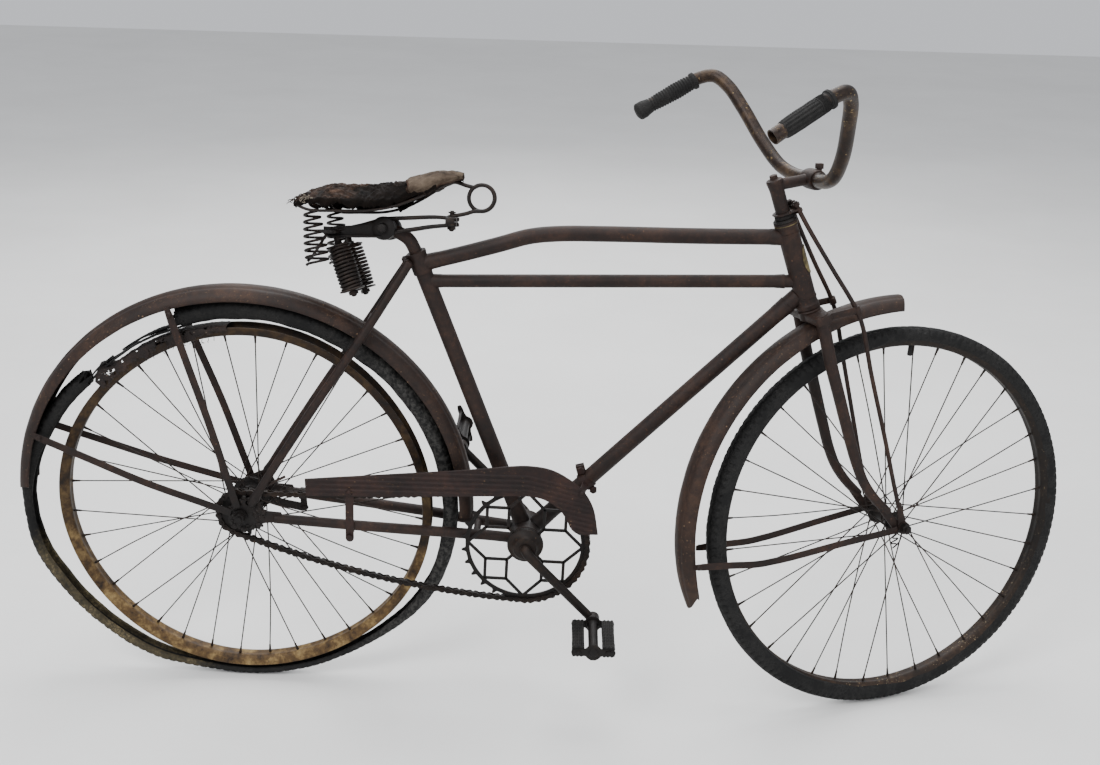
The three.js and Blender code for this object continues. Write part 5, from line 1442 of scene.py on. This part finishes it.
def rear_axle_and_brake_arm():
    parts = [rod((0, -80, 0), (0, 80, 0), 4.8, sides=28)]
    for _, sign in SIDES:
        for i in range(5):
            at = Vector((0, sign * (77.6 + 0.5 * i), 0))
            parts.append(spun_ring([(4.4, -0.2), (4.85, 0), (4.4, 0.2)], at, 20))
        parts += [hexagon_nut((0, sign * (UPPER_STAY_Y + 6.4), 0), Y_AXIS, 16.5, 9),
                  turned([(4.9, -0.9), (10.6, -0.9), (10.6, 0.7), (4.9, 0.7)],
                         (0, sign * (UPPER_STAY_Y + 2.4), 0), (0, sign * 90, 0), 32, ring=True),
                  turned([(5, -2.4), (9.5, -2.4), (9.5, 2.4), (5, 2.4)], (0, sign * 49, 0),
                         (0, sign * 60, 0), 6, ring=True)]
    settle(joined(parts), "rear_axle_and_nuts", "frame", "grease", "rear_axle")

    lumps = []
    for i in range(22):
        angle, reach = 137.5 * i, 15 + 17 * math.sqrt((i + 0.5) / 22)
        size = 5.5 + 3.5 * ripple(i * 1.7, 3, 3)
        place = around((8, 0, 2), reach, angle, -(DROPOUT_Y + 2.6))
        lumps.append(roughened(dome(place, -Y_AXIS, size, size * 0.5, 24), 2.4, 0.22, i))
    settle(joined(lumps), "caked_dirt_on_rear_end", "frame", "grease", smooth=60)

    outline = [(24, -2), (18, 8), (8, 14), (-4, 14), (-14, 8), (-18, -4), (-14, -16), (-4, -23),
               (10, -26), (24, -28), (50, -34), (86, -42), (95, -41), (99, -35), (96, -28), (88, -26),
               (52, -19), (34, -12)]
    arm = plate(outline, 50.8, 53.2, 0.6)
    cut(arm, rod((0, 30, 0), (0, 70, 0), 5.4, sides=32))
    disc = spun_ring([(5.4, 50.6), (23, 50.6), (24, 51.4), (24, 53.4), (22.8, 54), (5.4, 54)], (0, 0, 0), 56)
    clip_at = Vector((91, 54.5, -18))
    clip = [turned([(9.4, -6.5), (10.8, -6.5), (10.8, 6.5), (9.4, 6.5)], (90, 54.7, -8.2),
                   (190, 50.4, -18), 40, ring=True),
            bar((90, 52.6, -15), (91, 52.6, -38), 12, 2.4), rod((91, 47, -35), (91, 58, -35), 3, sides=20),
            hexagon_nut((91, 56.5, -35), Y_AXIS, 10, 4), dome((91, 50, -35), -Y_AXIS, 5, 3)]
    settle(joined(arm, disc, clip), "coaster_brake_arm", "frame", "grease", "brake_arm")


# The torn tyre's line: degrees round the axle, radius of its middle, and thickness
LOOSE_TYRE = [(-180, 389, 19), (-165, 389, 22), (-154, 379, 21), (-138, 368, 20), (-120, 358, 18),
              (-108, 347, 14), (-90, 341.5, 11), (-60, 342, 12), (-46, 348, 16), (-33, 358, 22),
              (-22, 363, 24), (-8, 362, 26), (20, 360, 28), (57, 358, 30), (87, 360, 32),
              (103, 357, 32), (108, 341, 10), (136, 341, 11), (140, 350, 26), (155, 366, 28),
              (167, 380, 27), (175, 387, 24), (180, 389, 19)]


def loose_tyre():
    """The rear tyre, off its rim and torn through at the top, with strips left across the gap."""
    start, end = 139.5, 466.5
    middle_rows = [(a, r) for a, r, _ in LOOSE_TYRE]
    thick_rows = [(a, t) for a, _, t in LOOSE_TYRE]
    outside = [(math.cos(a), math.sin(a)) for a in (math.radians(180 * i / 29) for i in range(30))]
    bead = [(1.0, -0.25), (0.92, -0.62), (0.78, -0.92), (0.62, -1.0), (0.52, -0.82), (0.56, -0.45),
            (0.6, -0.05), (0.5, 0.32), (0.28, 0.52)]
    section = outside + [(-a, b) for a, b in bead] + [(0, 0.6)] + bead[::-1]

    def shape_at(degrees):
        wrapped = (degrees + 180) % 360 - 180
        if 103 < wrapped < 108:
            wrapped = 103
        if 136 < wrapped < 140:
            wrapped = 140
        return between(middle_rows, wrapped), between(thick_rows, wrapped)

    def place(t, a, b):
        degrees = start + (end - start) * t
        middle, thickness = shape_at(degrees)
        half = min(19, 9 + thickness / 2)
        crease = ripple(degrees * 0.11, 2, 0) + 0.6 * ripple(degrees * 0.35, 4, a)
        ends = min(t, 1 - t) * (end - start)
        jag = 3.5 * ripple(a * 2.3, b * 2.1, 1 if t < 0.5 else 9) + 1.2 * ripple(a * 9, b * 7, 2)
        degrees += jag * max(0.0, 1 - ends / 4) * (1 if t < 0.5 else -1)
        radius = middle + b * thickness * (0.5 + 0.05 * crease)
        if b > 0.3:
            beat = (degrees * TREAD_BEAT) % 1.0
            zigzag = abs(beat - 0.5) * 2
            shoulder = hump(abs(a), 0.75, 0.2)
            radius -= 2.0 * shoulder * (beat > 0.68) + 1.2 * hump(abs(a) - 0.2, 0.22 * zigzag, 0.07)
        floor_pad = 3.4 * hump(degrees, 274, 22) * max(b, 0.0)
        across = a * half * (0.96 + 0.05 * crease) + 1.2 * ripple(degrees * 0.06, 8, 1)
        return around((0, 0, 0), radius + floor_pad, degrees, across)

    def worn(t, a, b):
        degrees = (start + (end - start) * t) % 360
        ochre = math.exp(-((degrees - 224) / 34) ** 4) * (1.0 if b < 0.3 else 0.0)
        grey = math.exp(-((min(degrees, 360 - degrees) - 12) / 46) ** 4) * (1.0 if abs(a) > 0.4 else 0.3)
        return ochre if 150 < degrees < 290 else -grey
    casing = swept(section, 900, place, wear=worn)
    settle(casing, "torn_rear_tyre", "frame", "rear_tyre", "loose_tyre", smooth=50)

    strips = []
    ribbon = [(1, -1), (1, 1), (0.4, 1.4), (-0.4, 1.2), (-1, 1), (-1, -1), (-0.3, -1.3), (0.4, -1.1)]
    for first, last, radius, y, width, seed in (
            (104, 142, 339, -9, 8, 1), (105, 143, 340, 7, 5, 5), (104, 119, 344, 0, 9, 3),
            (129, 143, 344, -2, 9, 8), (106, 127, 341, 13, 3.5, 11)):

        def lie(t, a, b, first=first, last=last, radius=radius, y=y, width=width, seed=seed):
            degrees = first + (last - first) * t
            ragged = 0.72 + 0.55 * ripple(degrees * 0.5, seed, a) + 0.3 * ripple(degrees * 1.7, seed, 2)
            taper = min(1.0, 5 * min(t, 1 - t) + (0.25 if seed < 6 else 0.05))
            lift = 3.2 * math.sin(math.pi * t) * ripple(degrees * 0.13, seed, 3) + 1.2
            drift = 5 * ripple(degrees * 0.08, seed, 7)
            return around((0, 0, 0), radius + lift + b * 1.15, degrees,
                          y + drift + a * width * ragged * taper)
        strips.append(swept(ribbon, 90, lie))
    settle(joined(strips), "torn_tyre_strips", "frame", "rear_tyre", smooth=50)

    def curtain(u, v):
        degrees = 93 + 44.5 * u
        lift = 17 * hump(u, 0.93, 0.06) * (1 - v)
        hem = sum(size * ripple(u * beat, 3, 1) for size, beat in ((7, 9), (5, 31), (3.5, 83)))
        across = between([(0, 13), (0.3, -15), (0.42, -20.6), (1, -21.5)], v)
        inner = min(1.0, 0.35 + 2.6 * u) * (15 + max(hem, -6))
        radius = 331.5 + lift + between([(0, 0), (0.35, 1.2), (0.45, -1), (1, -inner)], v)
        return around((0, 0, 0), radius + 1.2 * ripple(u * 20, v * 3, 8), degrees,
                      across + 1.4 * ripple(u * 14, v * 4, 2))
    cloth = sheet(260, 44, curtain)
    only(cloth)
    bpy.ops.object.mode_set(mode="EDIT")
    bpy.ops.mesh.select_all(action="DESELECT")
    bpy.ops.object.mode_set(mode="OBJECT")
    for face in cloth.data.polygons:
        spot = face.center
        tear = sum(share * ripple(spot.x * fineness, spot.z * fineness, fineness * 9)
                   for fineness, share in ((0.075, 1.0), (0.2, 0.6), (0.5, 0.45)))
        face.select = tear > 0.42 and spot.y < -16
    bpy.ops.object.mode_set(mode="EDIT")
    bpy.ops.mesh.delete(type="FACE")
    bpy.ops.object.mode_set(mode="OBJECT")
    modified(cloth, "SOLIDIFY", thickness=1.5, offset=0.0)
    roughened(cleaned(cloth), 0.9, 0.35, 6)
    threads = []
    for i in range(22):
        seed = i * 1.7
        hang = around((0, 0, 0), 316 - 5 * abs(ripple(seed, 1, 1)), 97 + 39 * i / 21, -21)
        path = [hang + Vector((ripple(seed, k, 2) * 2.4, -0.4, ripple(seed, k, 5) - 1.6)) * k
                for k in range(5)]
        threads.append(tube(smooth_path(path, 3), 0.5, 5))
    settle(joined(cloth, threads), "torn_bead_strip", "frame", "torn_strip", smooth=60)


# Fork, headset, truss rods and handlebar
def plate_across_steering(outline, base, bottom, top, bevel):
    """A plate square to the steering axis, drawn forwards and leftwards from a point of it."""
    slab = plate(outline, bottom, top, bevel)
    forward = Y_AXIS.cross(STEER_AXIS)
    for vertex in slab.data.vertices:
        x, y, z = vertex.co
        vertex.co = base + forward * x + Y_AXIS * z + STEER_AXIS * y
    return cleaned(slab)


def fork():
    low, high = steer_at(372), steer_at(386)
    up = STEER_AXIS
    forward = Y_AXIS.cross(up)
    length = (high - low).length
    outline = [(-15, -53), (-15, 53), (-11, 56), (11, 56), (15, 53), (15, 40), (17, 22), (21, 9),
               (21, -9), (17, -22), (15, -40), (15, -53), (11, -56), (-11, -56)]
    parts = [plate_across_steering(outline, low, 0.3, length - 0.3, 2.4)]
    for _, sign in SIDES:
        parts.append(rod(low + Y_AXIS * sign * 43 - up * 4, high + Y_AXIS * sign * 43 + up * 1.5,
                         12.6, 12.0, sides=36, bevel=1.5))
    parts += [rod(low + up * 2, high + up * 1, 18.5, sides=48),
              rod(high - up * 1, steer_at(548), 12.7, sides=36),
              turned([(14, 0), (19.5, 0), (20.4, 1.2), (19.2, 3.2), (17.4, 4.4), (14, 4.6)], high,
                     high + up, 64, ring=True)]
    for _, sign in SIDES:
        rod_at = Vector((1030, sign * 42.4, 391))
        root = low.lerp(high, 0.5) + forward * 12 + Y_AXIS * sign * 47
        parts.append(bar(root, rod_at + Vector((-3, sign * 3, 0)), 11.5, 4.0, Y_AXIS, 1.3))
        parts.append(turned([(3.9, -6), (6.4, -6), (6.4, 6), (3.9, 6)], rod_at,
                            rod_at + Vector((14, sign * 3.5, -31)), 28, ring=True))
    settle(joined(parts), "fork_crown_plates", "steering", "frame", "fork_crown")

    for side, sign in SIDES:
        start = low - up * 0.5
        path = smooth_path(on_side(sign, (start.x, 43, start.z), (985, 44, 307), (1006, 46, 240),
                                   (1028, 48, 170), (1044, 50, 123), (1060, 50, 88), (1082, 50, 58),
                                   (1110, 51.5, 30)), 10)
        radii = [1.12 - 0.34 * i / len(path) for i in range(len(path))]
        blade = tube(path, 10, 36, radii=radii)
        tip = plate([(1100, 47), (1113, 32), (1129, 14), (1140, 12), (1149, 8), (1152, 0), (1149, -8),
                     (1140, -12), (1130, -10), (1120, 0), (1104, 20), (1092, 36)],
                    sign * FORK_TIP_Y - 2.4, sign * FORK_TIP_Y + 2.4, 0.9)
        settle(joined(blade, tip), f"fork_blade_tube_{side}", "steering", "frame", f"fork_blade_{side}")


def headset():
    low = steer_at(HEAD_TOP_Z + 0.4)
    rows = [(13, 0), (19.6, 0), (20.2, 0.8), (19.8, 2.4), (18.0, 3.4), (17.4, 4.2), (17.4, 5.2),
            (16.2, 5.6), (13, 5.6)]
    cup = spun_ring(rows, low, 72, STEER_AXIS)
    nut = turned([(13, 0), (16.4, 0), (17, 0.6), (17, 4.4), (16.4, 5), (13, 5)], low + STEER_AXIS * 5.6,
                 low + STEER_AXIS * 9, 8, ring=True)
    parts = [cup, bevelled(nut, 0.5),
             turned([(13, 0), (15.6, 0), (15.6, 1.2), (13, 1.2)], low + STEER_AXIS * 10.4,
                    low + STEER_AXIS * 15, 40, ring=True)]
    return settle(joined(parts), "headset_cup_and_nut", "steering", "grease", "headset_nut")


def truss():
    base = steer_at(552)
    up, forward = STEER_AXIS, Y_AXIS.cross(STEER_AXIS)
    outline = [(-16, -9), (-17, 0), (-16, 9), (-10, 15), (0, 17.5), (12, 17), (25, 18), (28, 15),
               (28, -15), (25, -18), (12, -17), (0, -17.5), (-10, -15)]
    slab = plate_across_steering(outline, base, -1.5, 1.5, 0.7)
    bolt = base + forward * 23
    parts = [slab, rod(bolt - up * 9, bolt + up * 12, 3.2, sides=20),
             hexagon_nut(bolt + up * 4.2, up, 11, 5), dome(bolt + up * 12, up, 3.1, 1.6),
             hexagon_nut(bolt - up * 5, up, 11, 4.6)]
    settle(joined(parts), "truss_bracket_plate", "steering", "frame", "truss_bracket")
    for side, sign in SIDES:
        path = smooth_path(on_side(sign, (921, 11, 571), (926, 12, 562), (945, 18, 528), (985, 31, 462),
                                   (1026, 42, 397), (1040, 45.5, 366), (1062, 48, 280), (1093, 54, 166),
                                   (1113, 56.6, 90), (1127, 57, 42)), 10)
        top = Vector(path[0])
        along = (Vector(path[6]) - top).normalized()
        tail = plate([(1124, 48), (1132, 47), (1145, 7), (1150, 0), (1147, -7), (1140, -10), (1133, -7),
                      (1130, 0)], sign * 56.9 - 1.3, sign * 56.9 + 1.3, 0.5)
        nut = [hexagon_nut(top + along * 5, along, 10.5, 5.5), hexagon_nut(top + along * 17, along, 10.5, 4)]
        settle(joined(tube(path, 3.8, 20), tail, nut), f"truss_rod_bar_{side}", "steering",
               "frame", f"truss_rod_{side}")


# The left half of the handlebar's middle line
BAR_HALF = [(958, 0, 606), (955, 28, 606), (950, 62, 609), (943, 98, 621), (931, 143, 657),
            (914, 186, 708), (898, 218, 744.5), (880, 238, 761), (856, 247, 757.5), (804, 254, 730),
            (751, 260, 700)]


def handlebar():
    path = smooth_path(on_side(-1, *reversed(BAR_HALF)) + BAR_HALF[1:], 12)
    hollow = next(i for i, point in enumerate(path) if (point - path[0]).length > 24)
    bar_piece = tube(path[hollow:], BAR_RADIUS, 36)
    outwards = (path[0] - path[3]).normalized()
    end = path[0] - outwards * 1.2
    mouth = [turned([(9.9, -30), (11.9, -30), (12.1, -0.6), (11.6, 0), (10.5, 0), (9.9, -0.6)], end,
                    end + outwards, 40, ring=True)]
    band = spun_ring([(11.7, -25), (13.2, -23), (13.2, 23), (11.7, 25)], BAR_MIDDLE, 48)
    settle(joined(bar_piece, mouth, band), "swept_handlebar", "steering", "bar", "handlebar")

    quill_rows = [(0, -2), (12, -2), (12, 36), (12.3, 44), (13.2, 51), (14.2, 56), (14.2, 59),
                  (13, 61.2), (8, 62), (6.6, 63), (6.6, 67), (5.6, 68), (0, 68.4)]
    quill = turned(quill_rows, steer_at(549), steer_at(700), 48)
    clamp = spun_ring([(11.8, -19), (15.6, -19), (16.4, -17), (17.2, -10), (17.2, 10), (16.4, 17),
                       (15.6, 19), (11.8, 19)], BAR_MIDDLE, 48)
    top_bolt = steer_at(549) + STEER_AXIS * 67
    arm = rod(steer_at(597) + Vector((0, 0, 1)), (948, 0, 606), 9.6, 9.2, sides=36)
    lug = [bar((964, -13, 619), (964, 3, 619), 16, 10, bevel=2.0),
           rod((965, -6, 610), (965, -6, 626), 4.6, sides=20),
           bar((965, -6, 623.5), (965, -6, 632.5), 11, 11, (1, 0, 0), 1.0)]
    settle(joined(quill, clamp, arm, lug, hexagon_nut(top_bolt, STEER_AXIS, 12, 4)),
           "stem_and_clamp", "steering", "frame", "stem")
    for side, sign in SIDES:
        grip(side, sign)


def grip(side, sign):
    """A worn rubber grip: the left one is waisted and closed, and the right one is torn short."""
    x0, y0, z0 = BAR_HALF[-3]
    x1, y1, z1 = BAR_HALF[-1]
    start, end = Vector((x0, sign * y0, z0)), Vector((x1, sign * y1, z1))
    length = (end - start).length
    first = start.lerp(end, 0.06)
    reach = length * (1.0 if sign > 0 else 0.78)
    along = (end - start).normalized()
    side_way = along.cross(Vector((0, 0, 1))).normalized()
    up_way = side_way.cross(along)
    if sign > 0:
        outline = [(0.0, 11.6), (0.01, 14.8), (0.03, 15.5), (0.055, 15.3), (0.07, 13.6), (0.2, 14.4),
                   (0.4, 14.6), (0.6, 13.6), (0.72, 12.6), (0.8, 13.2), (0.87, 15.0), (0.93, 15.5),
                   (0.975, 13.8), (1.0, 8.5)]
    else:
        outline = [(0.0, 11.6), (0.006, 14.8), (0.02, 15.5), (0.06, 15.5), (0.07, 13.6), (0.1, 13.4),
                   (0.16, 14.4), (0.6, 14.6), (0.9, 14.2), (0.97, 13.4), (1.0, 11.7)]
    rows = 96 if sign > 0 else 84

    def place(t, degrees, _):
        radius = between(outline, t)
        if sign > 0:
            radius -= 1.1 if 0.08 < t < 0.78 and (t * 24) % 1 < 0.4 else 0.0
        elif 0.1 < t < 0.96:
            groove = 1.0 if (degrees / 24) % 1 < 0.3 else 0.0
            ring = 1.0 if t < 0.3 and (t * 40) % 1 < 0.45 else 0.0
            radius -= 1.2 * max(groove if t > 0.28 else 0.0, ring)
        worn = 0.45 * ripple(t * 7, degrees * 0.02, 4 + sign)
        ragged = 0.035 * ripple(degrees * 0.045, 2, 2) * max(0.0, (t - 0.8) / 0.2) if sign < 0 else 0.0
        a = math.radians(degrees)
        radius = min(radius + worn, GRIP_RADIUS)
        return (first + along * reach * (t + ragged)
                + (side_way * math.cos(a) + up_way * math.sin(a)) * radius)
    piece = swept(round_section(60), rows, place)
    return settle(piece, f"rubber_grip_{side}", "steering", "grip", f"grip_{side}", smooth=40)


# Lights, floor and the photograph's camera
def studio():
    low = cad_low.z
    bpy.ops.object.select_all(action="DESELECT")
    bpy.ops.mesh.primitive_plane_add(size=14, location=(0.3, 1.5, low))
    floor = only(bpy.context.object)
    floor.name = "pale_floor"
    bpy.ops.object.transform_apply()
    cover = Finish("pale_floor")
    cloud = cover.grain(1.6, 4.0, 0.6)
    floor.data.materials.append(
        cover.done(cover.ramp(cloud, [(0.3, (0.66, 0.66, 0.65)), (0.7, (0.72, 0.72, 0.71))]), 0.7))
    for name, place, size, power, aim in (("key_light", (-1.8, -3.0, 2.9), 2.2, 210, (0.25, 0, -0.4)),
                                          ("fill_light", (3.0, -2.4, 1.4), 2.6, 60, (0.3, 0, -0.4)),
                                          ("top_light", (0.4, 0.8, 3.2), 3.0, 170, (0.3, 0, -0.3)),
                                          ("back_light", (0.0, 3.2, 1.8), 2.4, 80, (0.3, 0, -0.3))):
        lamp = bpy.data.lights.new(name, "AREA")
        lamp.size, lamp.energy = size, power
        holder = bpy.data.objects.new(name, lamp)
        holder.location = place
        holder.rotation_euler = (Vector(aim) - Vector(place)).to_track_quat("-Z", "Y").to_euler()
        bpy.context.scene.collection.objects.link(holder)
    world = bpy.data.worlds.new("pale_room")
    bpy.context.scene.world = world
    world.use_nodes = True
    background = next(n for n in world.node_tree.nodes if n.type == "BACKGROUND")
    background.inputs["Color"].default_value = (0.93, 0.95, 1.0, 1.0)
    background.inputs["Strength"].default_value = 0.75


def camera():
    """The photograph's view: yaw, pitch and roll in radians, lens in millimetres, place in metres."""
    yaw, pitch, roll = -0.0043, 0.3622, 0.0285
    forward = Vector((math.sin(yaw) * math.cos(pitch), math.cos(yaw) * math.cos(pitch), -math.sin(pitch)))
    right = Vector((math.cos(yaw), -math.sin(yaw), 0))
    up = right.cross(forward)
    level = right * math.cos(roll) + up * math.sin(roll)
    tilted = up * math.cos(roll) - right * math.sin(roll)
    lens = bpy.data.cameras.new("photo_camera")
    lens.lens, lens.sensor_width = 48.75, 36
    holder = bpy.data.objects.new("photo_camera", lens)
    holder.matrix_world = (Matrix.Translation((0.30146, -2.39427, 0.56684))
                           @ Matrix((level, tilted, -forward)).transposed().to_4x4())
    bpy.context.scene.collection.objects.link(holder)
    bpy.context.scene.camera = holder


camera()
studio()
head_tube()
worn_badge_plate()
main_tubes()
for side_name, side_sign in SIDES:
    rear_triangle(side_name, side_sign)
    pedal(side_name, side_sign)
rear_guard_and_stays()
front_guard_and_stays()
chain_guard()
chain_loop()
chain_wheel()
crank_set()
saddle_leather()
saddle_frame()
saddle_clamp()
seat_post()
spring_carrier()
saddle_springs()
front_wheel()
front_axle()
rear_wheel()
rear_cog()
rear_axle_and_brake_arm()
loose_tyre()
fork()
headset()
truss()
handlebar()
